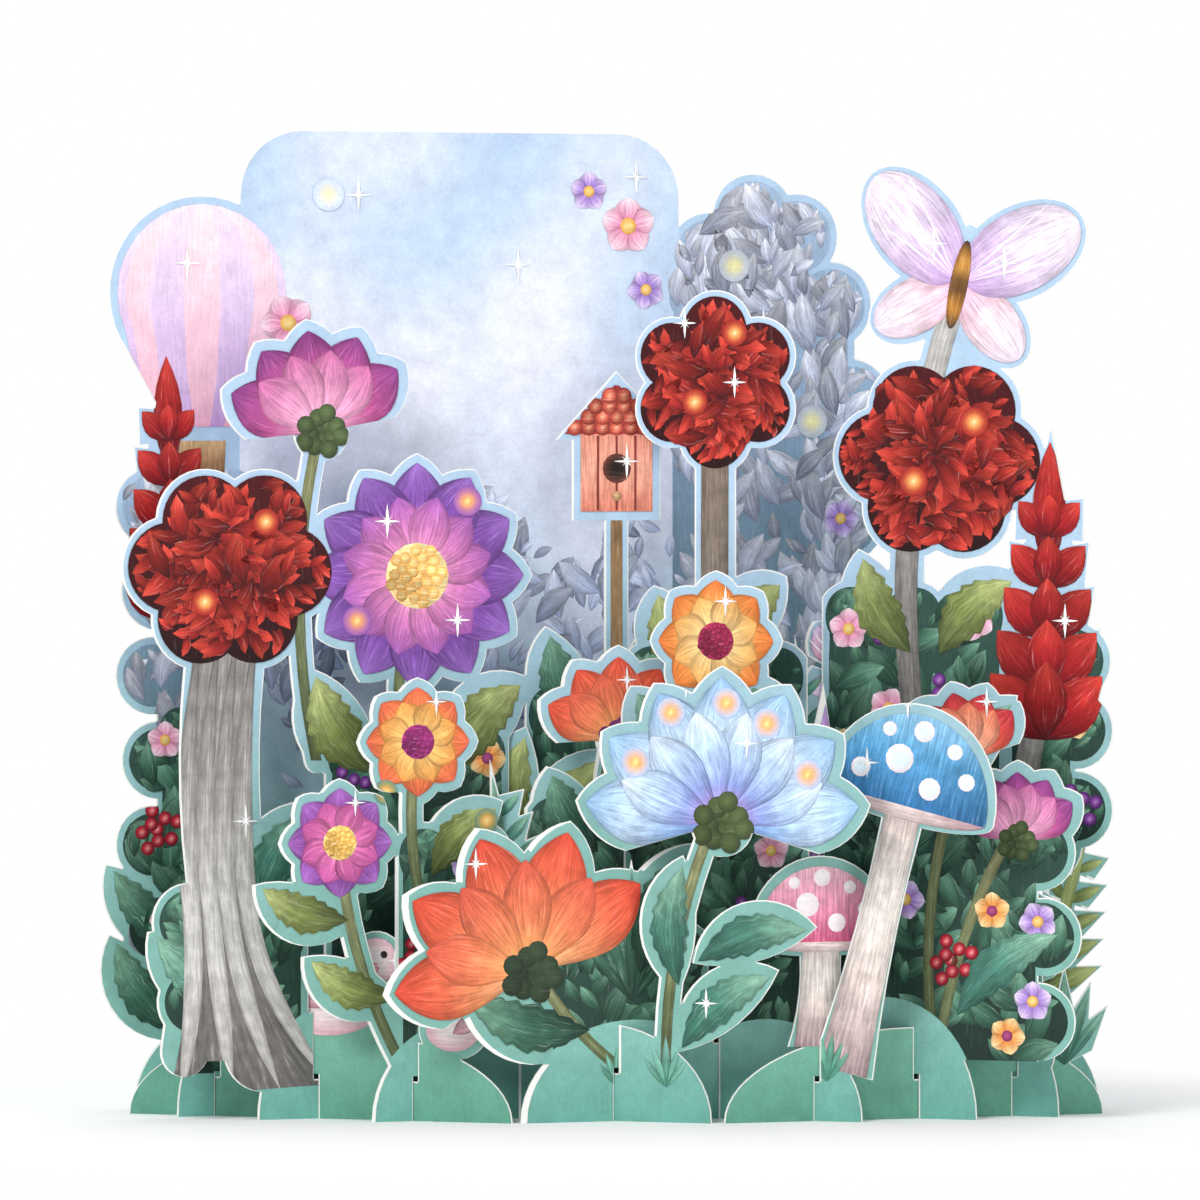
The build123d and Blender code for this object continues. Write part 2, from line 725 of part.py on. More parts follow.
sheets = {
    "front_left_hill": front_left_hill,
    "front_right_hill": front_right_hill,
    "centre_left_sheet": centre_left_sheet,
    "centre_right_sheet": centre_right_sheet,
    "left_front_sheet": left_front_sheet,
    "right_front_sheet": right_front_sheet,
    "left_middle_sheet": left_middle_sheet,
    "right_middle_sheet": right_middle_sheet,
    "sky_sheet": sky_sheet,
    "right_back_sheet": right_back_sheet,
}

os.makedirs("parts", exist_ok=True)
for name, sheet in sheets.items():
    sheet.part.label = name
    export_step(sheet.part, f"parts/{name}.step")
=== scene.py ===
"""Pop up card: the printed fronts of its ten slotted card sheets, in a plain pale studio."""

import bmesh
import bpy
import numpy as np
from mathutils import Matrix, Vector


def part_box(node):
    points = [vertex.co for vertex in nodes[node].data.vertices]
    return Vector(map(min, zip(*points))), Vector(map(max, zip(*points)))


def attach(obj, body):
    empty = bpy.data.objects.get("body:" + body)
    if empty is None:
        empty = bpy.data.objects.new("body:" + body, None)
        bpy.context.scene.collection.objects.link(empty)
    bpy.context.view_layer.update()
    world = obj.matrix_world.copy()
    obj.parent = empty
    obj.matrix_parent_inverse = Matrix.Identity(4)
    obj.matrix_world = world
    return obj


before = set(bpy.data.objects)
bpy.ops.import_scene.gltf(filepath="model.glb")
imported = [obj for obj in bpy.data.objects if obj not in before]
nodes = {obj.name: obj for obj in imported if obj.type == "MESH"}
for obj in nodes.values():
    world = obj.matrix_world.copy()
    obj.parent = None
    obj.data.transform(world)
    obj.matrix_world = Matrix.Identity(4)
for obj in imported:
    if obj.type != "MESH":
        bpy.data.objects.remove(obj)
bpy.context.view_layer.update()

# Camera: far in front of the card and level with its upper part, with a long lens, as the
# photograph was taken.
camera_data = bpy.data.cameras.new("camera")
camera = bpy.data.objects.new("camera", camera_data)
bpy.context.scene.collection.objects.link(camera)
camera.location = (-0.0015, -1.79, 0.128)
aim = Vector((-0.0015, 0.0, 0.0925))
camera.rotation_euler = (aim - camera.location).to_track_quat("-Z", "Y").to_euler()
camera_data.sensor_width = 36.0
camera_data.sensor_fit = "HORIZONTAL"
camera_data.lens = 298.0
camera_data.clip_start = 0.05
camera_data.clip_end = 30.0
bpy.context.scene.camera = camera
bpy.context.scene.view_settings.view_transform = "Standard"

# Studio: a seamless white ground and even white surroundings, one broad soft lamp above to the
# left of the camera, a weaker one to its right and a wide one high over the ground.


def add_node(tree, kind, inputs=None, **settings):
    """One shader node with its settings, each input given as a value or as a socket."""
    made = tree.nodes.new(kind)
    for key, value in settings.items():
        setattr(made, key, value)
    for key, value in (inputs or {}).items():
        if isinstance(value, bpy.types.NodeSocket):
            tree.links.new(value, made.inputs[key])
        else:
            made.inputs[key].default_value = value
    return made


def calculated(tree, operation, *values):
    """Result of one sum on numbers."""
    return add_node(tree, "ShaderNodeMath", dict(enumerate(values)), operation=operation).outputs[0]


def worked(tree, operation, inputs, result="Vector"):
    """Result of one operation on vectors."""
    return add_node(tree, "ShaderNodeVectorMath", inputs, operation=operation).outputs[result]


def mixed(tree, factor, first, second, kind="RGBA"):
    """Blend of two colours, or of two numbers if the kind is FLOAT."""
    inputs = {"Factor": factor, "A": first, "B": second}
    return add_node(tree, "ShaderNodeMix", inputs, data_type=kind).outputs["Result"]


def ranged(tree, value, low, high, new_low=0.0, new_high=1.0, ease="LINEAR"):
    """Value from low to high, brought to the new range and kept inside it."""
    ends = {"From Min": low, "From Max": high, "To Min": new_low, "To Max": new_high}
    made = add_node(tree, "ShaderNodeMapRange", {"Value": value, **ends}, interpolation_type=ease)
    return made.outputs["Result"]


def noise(tree, spot, scale, detail, roughness=0.5):
    """Noise over a place."""
    inputs = {"Vector": spot, "Scale": scale, "Detail": detail, "Roughness": roughness}
    return add_node(tree, "ShaderNodeTexNoise", inputs).outputs["Fac"]


def new_material(name):
    """New material with its node tree and its Principled shader."""
    made = bpy.data.materials.new(name)
    made.use_nodes = True
    return made, made.node_tree, made.node_tree.nodes["Principled BSDF"]


white = (1, 1, 1, 1)
world = bpy.data.worlds.new("studio")
bpy.context.scene.world = world
world.use_nodes = True
tree = world.node_tree
tree.nodes.clear()
rays = add_node(tree, "ShaderNodeLightPath").outputs
seen = calculated(tree, "MAXIMUM", rays["Is Camera Ray"], rays["Is Glossy Ray"])
around = mixed(tree, seen, (0.56, 0.57, 0.58, 1), white)
backdrop = add_node(tree, "ShaderNodeBackground", {"Color": around})
add_node(tree, "ShaderNodeOutputWorld", {"Surface": backdrop.outputs["Background"]})
for name, spot, size, energy in (
    ("key_lamp", (-0.75, -1.25, 1.15), 0.7, 17.0),
    ("fill_lamp", (1.0, -1.3, 0.6), 1.0, 6.0),
    ("ground_lamp", (0.0, 0.5, 1.6), 1.6, 7.0),
):
    lamp = bpy.data.lights.new(name, "AREA")
    lamp.shape = "DISK"
    lamp.size = size
    lamp.energy = energy
    stand = bpy.data.objects.new(name, lamp)
    bpy.context.scene.collection.objects.link(stand)
    stand.location = spot
    stand.rotation_euler = (Vector((0, 0, 0.07)) - Vector(spot)).to_track_quat("-Z", "Y").to_euler()

floor_reach = 4
floor_level = -0.00002
floor_corners = [(-1, -1), (1, -1), (1, 1), (-1, 1)]
floor_mesh = bpy.data.meshes.new("floor")
floor_mesh.from_pydata(
    [(x * floor_reach, y * floor_reach, floor_level) for x, y in floor_corners], [], [(0, 1, 2, 3)]
)
floor = bpy.data.objects.new("floor", floor_mesh)
bpy.context.scene.collection.objects.link(floor)
floor_paint, tree, near_paint = new_material("floor_paint")
near_paint.inputs["Base Color"].default_value = (0.93, 0.93, 0.93, 1)
near_paint.inputs["Roughness"].default_value = 0.9
spot = add_node(tree, "ShaderNodeTexCoord").outputs["Object"]
distance = worked(tree, "LENGTH", {0: spot}, "Value")
fade = ranged(tree, distance, 0.09, 0.17, ease="SMOOTHSTEP")
far_white = add_node(tree, "ShaderNodeEmission", {"Color": white})
shaders = {"Fac": fade, 1: near_paint.outputs["BSDF"], 2: far_white.outputs["Emission"]}
joined = add_node(tree, "ShaderNodeMixShader", shaders)
tree.links.new(joined.outputs["Shader"], tree.nodes["Material Output"].inputs["Surface"])
floor_mesh.materials.append(floor_paint)

# Card of the sheets: white uncoated pulp core at the cut edges and in the narrow band that the
# print leaves bare, and a flat wash of sea green that turns pale blue on the unprinted back.


def height_wash(tree, low, high):
    """Colour that runs from low at the table to high at the top of the card, a little uneven."""
    spot = add_node(tree, "ShaderNodeTexCoord").outputs["Object"]
    drift = noise(tree, spot, 28.0, 3.0)
    up = add_node(tree, "ShaderNodeSeparateXYZ", {"Vector": spot}).outputs["Z"]
    wander = calculated(tree, "MULTIPLY_ADD", drift, 0.05, up)
    share = ranged(tree, wander, 0.05, 0.15, ease="SMOOTHSTEP")
    return mixed(tree, share, (*low, 1), (*high, 1))


def paper_finish(tree, finish, colour, strength, roughness=0.5, sheen=0.5):
    """Gives a shader the colour broken up by the fine mottle of card, the bump and the gloss."""
    spot = add_node(tree, "ShaderNodeTexCoord").outputs["Object"]
    fine = noise(tree, spot, 1500.0, 4.0, 0.7)
    soft = noise(tree, spot, 260.0, 2.0)
    both = calculated(tree, "ADD", fine, soft)
    level = ranged(tree, both, 0.6, 1.4, 1 - strength, 1 + strength)
    toned = worked(tree, "SCALE", {0: colour, "Scale": level})
    flat = add_node(tree, "ShaderNodeNewGeometry").outputs["True Normal"]
    relief = {"Height": fine, "Strength": 0.25, "Distance": 0.00003, "Normal": flat}
    bump = add_node(tree, "ShaderNodeBump", relief)
    tree.links.new(toned, finish.inputs["Base Color"])
    tree.links.new(bump.outputs["Normal"], finish.inputs["Normal"])
    finish.inputs["Roughness"].default_value = roughness
    finish.inputs["Specular IOR Level"].default_value = sheen


# Each family of sheets: the direction along them and the one out of their printed fronts.
sheet_turn = np.radians(20.0)
level = np.cos(sheet_turn)
slant = np.sin(sheet_turn)
families = {
    "left": ((level, slant, 0.0), (slant, -level, 0.0)),
    "right": ((level, -slant, 0.0), (-slant, -level, 0.0)),
}
# Each sheet: its family, its finish, and how far its print lies to the right, in millimetres.
sheets = {
    "front_left_hill": ("right", "hill_card", 0.2),
    "front_right_hill": ("left", "hill_card", 0.2),
    "centre_left_sheet": ("left", "garden_card", 1.2),
    "centre_right_sheet": ("right", "garden_card", 0.5),
    "left_front_sheet": ("left", "garden_card", 0.6),
    "right_front_sheet": ("right", "garden_card", 0.35),
    "left_middle_sheet": ("left", "garden_card", 0.35),
    "right_middle_sheet": ("right", "garden_card", 0.3),
    "sky_sheet": ("left", "sky_card", 0.25),
    "right_back_sheet": ("right", "garden_card", 0.3),
}
for family, (along, facing) in families.items():
    stock, tree, finish = new_material("card_stock_" + family)
    looking = add_node(tree, "ShaderNodeTexCoord").outputs["Normal"]
    ahead = worked(tree, "DOT_PRODUCT", {0: looking, 1: facing}, "Value")
    behind = calculated(tree, "LESS_THAN", ahead, -0.5)
    back_wash = height_wash(tree, (0.36, 0.62, 0.57), (0.56, 0.70, 0.84))
    colour = mixed(tree, behind, (0.88, 0.87, 0.83, 1), back_wash)
    paper_finish(tree, finish, colour, 0.05, roughness=0.62)
    for name, (side, _, _) in sheets.items():
        if side == family:
            nodes[name].data.materials.clear()
            nodes[name].data.materials.append(stock)

# Ground print of every sheet: one film of sea green that turns pale blue upwards. It is cut by
# the sheet's own outline and lies a little to the right, so that a white band shows on the left.

ground_print, tree, finish = new_material("ground_print")
wash = height_wash(tree, (0.205, 0.44, 0.38), (0.44, 0.60, 0.78))
paper_finish(tree, finish, wash, 0.13, sheen=0.3)

# Millimetres: thickness of the card, way between two crossings, height of the whole. Places on a
# sheet are columns of this pitch from the middle of the lattice, and shares of the height.
card = 0.35
pitch = 19.05
card_high = 178.0
hill_columns = 4.9
hill_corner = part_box("front_left_hill")[0]
lattice_x = hill_corner[0] * 1000 + hill_columns * pitch * level + card / 2 * slant


def points_of(mesh):
    """The places of a mesh's vertices."""
    points = np.empty(len(mesh.vertices) * 3, np.float32)
    mesh.vertices.foreach_get("co", points)
    return points.reshape(-1, 3)


def put_points(mesh, points):
    """Moves a mesh's vertices to the given places."""
    mesh.vertices.foreach_set("co", points.ravel().astype(np.float32))
    mesh.update()


def sheet_frame(name):
    """Origin, direction along and direction out of a sheet, in millimetres."""
    along, facing = (np.array(axis) for axis in families[sheets[name][0]])
    depth = points_of(nodes[name].data).astype(float) @ facing * 1000
    middle = (depth.min() + depth.max()) / 2
    origin = np.array([lattice_x, (facing[0] * lattice_x - middle) / -facing[1], 0.0])
    return origin, along, facing


def flat_outline(name):
    """Mesh of a sheet laid flat: x along it, y up it and z out of it, in millimetres."""
    origin, along, facing = sheet_frame(name)
    shape = nodes[name].data.copy()
    offset = points_of(shape).astype(float) * 1000 - origin
    put_points(shape, np.stack([offset @ along, offset[:, 2], offset @ facing], 1))
    welded = bmesh.new()
    welded.from_mesh(shape)
    bmesh.ops.remove_doubles(welded, verts=welded.verts, dist=0.0005)
    welded.to_mesh(shape)
    welded.free()
    shape.materials.clear()
    return shape


def kept_part(shape, cutter):
    """The part of one closed mesh that lies inside another."""
    first = bpy.data.objects.new("kept", shape)
    second = bpy.data.objects.new("cutter", cutter)
    bpy.context.scene.collection.objects.link(first)
    bpy.context.scene.collection.objects.link(second)
    cut = first.modifiers.new("cut", "BOOLEAN")
    cut.operation = "INTERSECT"
    cut.solver = "MANIFOLD"
    cut.object = second
    cut_out = first.evaluated_get(bpy.context.evaluated_depsgraph_get())
    result = bpy.data.meshes.new_from_object(cut_out)
    bpy.data.objects.remove(first)
    bpy.data.objects.remove(second)
    return result


def moved_copy(shape, across, up):
    """Copy of a flat mesh shifted along its sheet and up it."""
    twin = shape.copy()
    put_points(twin, points_of(twin) + np.array([across, up, 0.0], np.float32))
    return twin


def between(shape, low, high):
    """Copy of a flat plate whose two faces lie at the depths low and high."""
    plate = shape.copy()
    points = points_of(plate)
    points[:, 2] = np.where(points[:, 2] > 0, high, low)
    put_points(plate, points)
    return plate


def stand_up(shape, name):
    """Moves a flat mesh in millimetres to its place on its sheet in metres."""
    origin, along, facing = sheet_frame(name)
    points = points_of(shape).astype(float)
    placed = origin + points[:, :1] * along + points[:, 2:] * facing
    placed[:, 2] += points[:, 1]
    put_points(shape, placed / 1000)


def carry(mesh, name, kind, material):
    """Makes a flat mesh the film of that kind on a sheet, which carries it with its finish."""
    stand_up(mesh, name)
    mesh.name = name + kind
    mesh.materials.clear()
    mesh.materials.append(material)
    piece = bpy.data.objects.new(name + kind, mesh)
    bpy.context.scene.collection.objects.link(piece)
    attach(piece, "root")


side_rim = 0.16
top_rim = 0.22
print_areas = {}
for name, (_, _, shift) in sheets.items():
    outline = flat_outline(name)
    area = outline
    for across, up in ((shift, 0.0), (-side_rim, 0.0), (0.0, -top_rim)):
        area = kept_part(area, between(moved_copy(outline, across, up), -1.0, 1.0))
    print_areas[name] = area
    carry(between(area, card / 2 + 0.002, card / 2 + 0.012), name, "_ground", ground_print)

# Ink of the painted motifs: water colour washes with coloured pencil strokes along each petal,
# leaf and stem, on the fine tooth of the card under a satin varnish.

ink, tree, finish = new_material("painted_ink")
paint = add_node(tree, "ShaderNodeAttribute", attribute_name="ink").outputs
strokes = add_node(tree, "ShaderNodeUVMap", uv_map="strokes").outputs["UV"]
long_way = worked(tree, "MULTIPLY", {0: strokes, 1: (0.16, 2.3, 1.0)})
pencil = noise(tree, long_way, 1.0, 4.0, 0.62)
wash = noise(tree, strokes, 0.32, 2.0)
streak = ranged(tree, pencil, 0.32, 0.68, 0.66, 1.30)
pool = ranged(tree, wash, 0.3, 0.7, 0.86, 1.14)
depth = calculated(tree, "MULTIPLY", streak, pool)
pressed = mixed(tree, paint["Alpha"], 1.0, depth, "FLOAT")
drawn = worked(tree, "SCALE", {0: paint["Color"], "Scale": pressed})
glint = ranged(tree, pencil, 0.60, 0.74, 0.0, 0.26)
chalk = calculated(tree, "MULTIPLY", glint, paint["Alpha"])
chalked = mixed(tree, chalk, drawn, (0.86, 0.84, 0.78, 1))
paper_finish(tree, finish, chalked, 0.16, sheen=0.18)

# Painted shapes: grids of points that become thin films of ink, cut by the print area of their
# sheet. In millimetres: how thick a film is, and how far layers and copies lie above each other.

film_thick = 0.016
layer_step = 0.02
copy_step = 0.0006

# Colours that several prints share.

grass = ("5d9883", "6ca692", "7bb6a1")
far_hill = ("68a699", "78b0a5", "87bcb1")
shade = ("1f302a", "294239", "34534a")
dark_leaf = ("20362d", "3d6654", "74a088")
teal_leaf = ("2f5a4e", "4c8272", "8bb8a0")
olive_leaf = ("4a5532", "7d8a4d", "b6c07f")
low_tuft = ("4a8270", "5d9883", "7bb6a1")
stem_ink = ("4f5a3c", "77805a", "8f8f66")
pink_blossom = (("d96a98", "f0a8c4", "fbdde8"), ("fbe9a0", "e0a040"))
lilac_blossom = (("7f5ab0", "b493d8", "e6d6f4"), ("fbe9a0", "e0a040"))
warm_blossom = (("e8743a", "f4a85e", "fbe0a8"), ("c45a90", "7a2a5c"))
plum = ("c08ad0", "7f3f94", "4a1f60")
cherry = ("f09a98", "b8283a", "6a1020")
green_cup = ("5f7048", "3c4a2e")
coral_lily = (("f7c48f", "f09a68", "e8694a", "e2503c"), ("f6b06a", "ee8158", "e4604c"))
rose_lily = (("f0b3cd", "c45a98", "8a3f86"), ("f0b3cd", "d070a8"))
red_lily = (("f8b090", "e05a4a", "c43040"), ("f8c0a0", "ec7a5c"))
ember = ("fbe9a8", "f2a058", "c24a34", "a02a26")


def ramp(share, colours):
    """Linear colour at each share from 0 to 1 of an even run through some screen colours."""
    code = np.array([[int(text[i : i + 2], 16) for i in (0, 2, 4)] for text in colours]) / 255
    table = np.where(code < 0.04045, code / 12.92, ((code + 0.055) / 1.055) ** 2.4)
    knots = np.linspace(0, 1, len(table))
    return np.stack([np.interp(share, knots, channel) for channel in table.T], -1)


def lattice(rows, columns, low=-1.0):
    """Two parameters over a grid: u from 0 to 1 down its rows and v from low to 1 along them."""
    return np.meshgrid(np.linspace(0, 1, rows), np.linspace(low, 1, columns), indexing="ij")


def painted(x, y, along, across, rgb, press=1.0):
    """A painted shape: its points, their places along and across the strokes, its ink and press."""
    shape = {"x": x, "y": y, "along": along, "across": across, "ink": rgb}
    return {**{key: value[None] for key, value in shape.items()}, "press": press}


def stroke(
    length, width, profile, colours, bend=0.0, edge=0.35, vein=0.0, veins=0, teeth=0, grid=(14, 7)
):
    """One painted shape from its root along X, over s along it and v from side to side.

    x is s times the length. y is v times half the width times the profile, plus bend times the
    length times 4s(1-s). The profile is 4s(1-s) for a leaf, the sine of pi times s to the 1.45
    for a petal, the root of 4s(1-s) for an oval and 1 for a strap, nicked by the teeth. The
    colours run along s, darker towards both sides, with a pale midrib and side veins."""
    u, v = lattice(*grid)
    s = (1 - np.cos(np.pi * u)) / 2
    half = {
        "leaf": 4 * s * (1 - s),
        "petal": np.abs(np.sin(np.pi * s**1.45)) ** 0.8,
        "oval": 2 * np.sqrt(s * (1 - s)),
        "strap": np.ones_like(s),
    }[profile]
    half = np.maximum(half, 0.03)
    if teeth:
        half = half * (1 - 0.24 * ((s * teeth) % 1.0))
    x = s * length
    y = v * width / 2 * half + bend * length * 4 * s * (1 - s)
    tone = 1 - edge * np.abs(v) ** 3 + vein * np.exp(-((v / 0.16) ** 2)) * (1 - s)
    if veins:
        tone = tone + 0.22 * np.maximum(0, np.cos(2 * np.pi * (s * veins - np.abs(v) * 0.9))) ** 6
        tone = tone - 0.16 * (v < 0)
    rgb = np.clip(ramp(s, colours) * tone[..., None], 0.002, 0.95)
    return painted(x, y, x, v * width / 2, rgb)


def disc(radius, colours, tall=1.0, light=0.0, grid=(9, 9), press=1.0):
    """Round spot about the origin, its colours run outwards, lighter towards the upper left."""
    u, v = lattice(*grid)
    x = -np.cos(np.pi * u)
    y = v * np.maximum(np.sin(np.pi * u), 0.03)
    tone = 1 + light * (y - x) / 1.4
    rgb = np.clip(ramp(np.hypot(x, y), colours) * tone[..., None], 0.002, 0.95)
    x = x * radius
    y = y * radius * tall
    return painted(x, y, x, y, rgb, press)


def mound(from_column, to_column, height, colours):
    """Half an ellipse on the table: x is minus the cosine and y the sine of pi u, filled by v.

    It is a little larger than the hill of card, whose outline cuts it."""
    excess = 1.03
    u, v = lattice(33, 7)
    half = (to_column - from_column) / 2 * pitch
    x = (to_column + from_column) / 2 * pitch - half * excess * np.cos(np.pi * u)
    rise = height * excess * np.maximum(np.sin(np.pi * u), 0.01)
    y = rise * (v + 1) / 2
    rgb = ramp(np.clip(y / height, 0, 1), colours)
    return painted(x, y, y, x, rgb, press=0.1)


def hills(*spans):
    """Hills on the table, each from a column to a column and so high, the last one in front."""
    return [place(mound(*span, far_hill), layer=2 + number) for number, span in enumerate(spans)]


def heading(turn):
    """Cosine and sine of a turn in degrees."""
    return np.cos(np.radians(turn)), np.sin(np.radians(turn))


def film_height(layer, number):
    """Height of a film over the card: each layer above the last, each copy a little higher."""
    return layer_step + layer_step * layer + copy_step * number


def place(shape, column=0.0, rise=0.0, turns=0.0, size=1.0, out=0.0, layer=0, vary=0.0):
    """Copies of a shape on a sheet: columns, shares of the card's height, turns and sizes."""
    given = np.broadcast_arrays(*map(np.atleast_1d, (column, rise, turns, size, out)))
    column, rise, turns, size, out = (value.reshape(-1, 1, 1) for value in given)
    number = np.arange(len(column)).reshape(-1, 1, 1)
    x = shape["x"] * size + out
    y = shape["y"] * size
    c, s = heading(turns)
    wide = x * c - y * s
    high = x * s + y * c
    tone = 1 + vary * np.sin(number * 2.4 + 1.0)
    return {
        "x": wide + column * pitch,
        "y": high + rise * card_high,
        "z": np.zeros_like(wide) + film_height(layer, number % 32),
        "along": shape["along"] * size + number * 37.0 + layer * 11.0,
        "across": shape["across"] * size + number * 13.0 + column * 3.0,
        "ink": shape["ink"] * tone[..., None],
        "press": shape["press"],
    }


def moved(parts, column, rise, turn=0.0, flip=1):
    """Painted parts made about the origin, turned, mirrored if flip is -1, and set on a sheet."""
    c, s = heading(turn)
    made = []
    for part in parts:
        part = dict(part)
        x = flip * (part["x"] * c - part["y"] * s) + column * pitch
        y = part["x"] * s + part["y"] * c + rise * card_high
        part.update(x=x, y=y)
        if flip < 0:
            for key in ("x", "y", "z", "along", "across", "ink"):
                part[key] = part[key][:, ::-1]
        made.append(part)
    return made


def seeds(count, reach):
    """Columns and shares of the card's height of the seeds in a round head about the origin.

    Each lies 2.4 radians further round than the one before, as in a sunflower."""
    number = np.arange(count)
    away = reach * np.sqrt(number / count)
    return away * np.cos(number * 2.4) / pitch, away * np.sin(number * 2.4) / card_high


def span(foot, head):
    """Length in millimetres and turn in degrees of the way between two places on a sheet."""
    across = (head[0] - foot[0]) * pitch
    above = (head[1] - foot[1]) * card_high
    return np.hypot(across, above), np.degrees(np.arctan2(above, across))


def on_rib(column, rise, turn, run):
    """Columns and shares of the card's height at some distances along a straight rib."""
    c, s = heading(turn)
    return column + run * c / pitch, rise + run * s / card_high


def bird(column, rise, length, height, flip=1):
    """Plump sitting bird: tail, beak, body, head, wing, cheek and eye."""
    feather = ("f7ecec", "f4dde0", "e2b0bc")
    wing = ("c98a9c", "e8bcc6", "f7e6e8")
    plump = (height - 3) / (length - 3)
    belly = disc(length / 2 - 1.5, feather, plump, light=0.1, grid=(13, 13), press=0.4)
    head = disc(height * 0.36 - 1.2, feather, light=0.1, press=0.4)
    beak = stroke(length * 0.3, height * 0.3 - 1.6, "leaf", ("f0a050", "d9773a"))
    tail = stroke(length * 0.5, height * 0.5 - 2.4, "leaf", wing)
    folded = stroke(length * 0.5, height * 0.55 - 2.6, "leaf", wing, veins=5)
    parts = [
        (tail, -length * 0.3, height * 0.5, 158, 0),
        (beak, length * 0.4, height * 0.93, -12, 0),
        (belly, 0, height / 2, 0, 1),
        (head, length * 0.4, height * 1.05, 0, 2),
        (folded, 0, height * 0.45, 148, 3),
        (disc(height * 0.07, ("f3b3c3", "e890a8")), length * 0.38, height * 0.95, 0, 4),
        (disc(height * 0.045, ("2a1a20",)), length * 0.46, height * 1.12, 0, 5),
    ]
    drawn = [
        place(shape, x / pitch, y / card_high, turns, layer=4 + order)
        for shape, x, y, turns, order in parts
    ]
    return moved(drawn, column, rise, flip=flip)


def sparkle(columns, rises, size):
    """White twinkles: a long upright and a long level ray with two short slanted ones."""
    ray = stroke(1.0, 0.10, "leaf", ("ffffff",), edge=0.0, grid=(7, 3))
    ray["x"] = ray["x"] - 0.5
    turns = np.tile([90.0, 0.0, 45.0, 135.0], len(columns))
    sizes = np.tile([1.25, 1.0, 0.5, 0.5], len(columns)) * size
    return [place(ray, np.repeat(columns, 4), np.repeat(rises, 4), turns, sizes, layer=13)]


def glow(columns, rises, radius, colours):
    """Soft round lights that fade into the colour they lie on."""
    light = disc(radius, colours, grid=(11, 11), press=0.12)
    return [place(light, columns, rises, layer=12)]


def plates(shapes):
    """Points, faces, ink and stroke places of closed plates from the placed grids of points."""
    made = []
    base = 0
    for shape in shapes:
        count, rows, columns = shape["x"].shape
        under = rows * columns
        top = np.stack([shape["x"], shape["y"], shape["z"] + card / 2], -1).reshape(count, -1, 3)
        points = np.concatenate([top, top - np.array([0, 0, film_thick])], 1)
        index = np.arange(under).reshape(rows, columns)
        skin = np.stack([index[:-1, :-1], index[1:, :-1], index[1:, 1:], index[:-1, 1:]], -1)
        skin = skin.reshape(-1, 4)
        rim = np.concatenate([index[:-1, 0], index[-1, :-1], index[:0:-1, -1], index[0, :0:-1]])
        after = np.roll(rim, -1)
        wall = np.stack([rim, rim + under, after + under, after], -1)
        steps = (np.arange(count) * 2 * under + base).reshape(-1, 1, 1)
        faces = np.concatenate([skin, skin[:, ::-1] + under, wall]) + steps
        tint = np.broadcast_to(shape["ink"], (count, rows, columns, 3)).reshape(count, -1, 3)
        press = np.full((count, under, 1), shape["press"])
        tint = np.tile(np.concatenate([tint, press], -1), (1, 2, 1))
        run = np.stack(np.broadcast_arrays(shape["x"], shape["along"], shape["across"])[1:], -1)
        run = np.tile(run.reshape(count, -1, 2), (1, 2, 1))
        parts = (points, faces, tint, run)
        made.append([part.reshape(-1, part.shape[-1]) for part in parts])
        base += count * 2 * under
    return [np.concatenate(kind) for kind in zip(*made)]


def lay_print(name, shapes):
    """Joins the painted shapes of one sheet, cuts them by its print area and sets them on it."""
    points, faces, inks, places = plates(shapes)
    mesh = bpy.data.meshes.new(name + "_print")
    mesh.from_pydata(points.tolist(), [], faces.tolist())
    corner = np.empty(len(mesh.loops), np.int32)
    mesh.loops.foreach_get("vertex_index", corner)
    tint = mesh.color_attributes.new("ink", "FLOAT_COLOR", "CORNER")
    tint.data.foreach_set("color", inks[corner].ravel().astype(np.float32))
    layer = mesh.uv_layers.new(name="strokes")
    layer.data.foreach_set("uv", places[corner].ravel().astype(np.float32))
    carry(kept_part(mesh, between(print_areas[name], 0.0, 3.0)), name, "_print", ink)


# Print of the front left hill: green ground with two pale pink birds.

lay_print(
    "front_left_hill",
    [place(mound(-4.9, -1.03, 16.4, grass))]
    + bird(-2.9, 0.075, 24.5, 14.5)
    + bird(-1.62, 0.062, 13.2, 10.4, flip=-1)
    + sparkle([-3.6, -2.2], [0.05, 0.16], 3.0),
)

# Print of the front right hill: green ground with two pink toadstools and a tuft of grass.


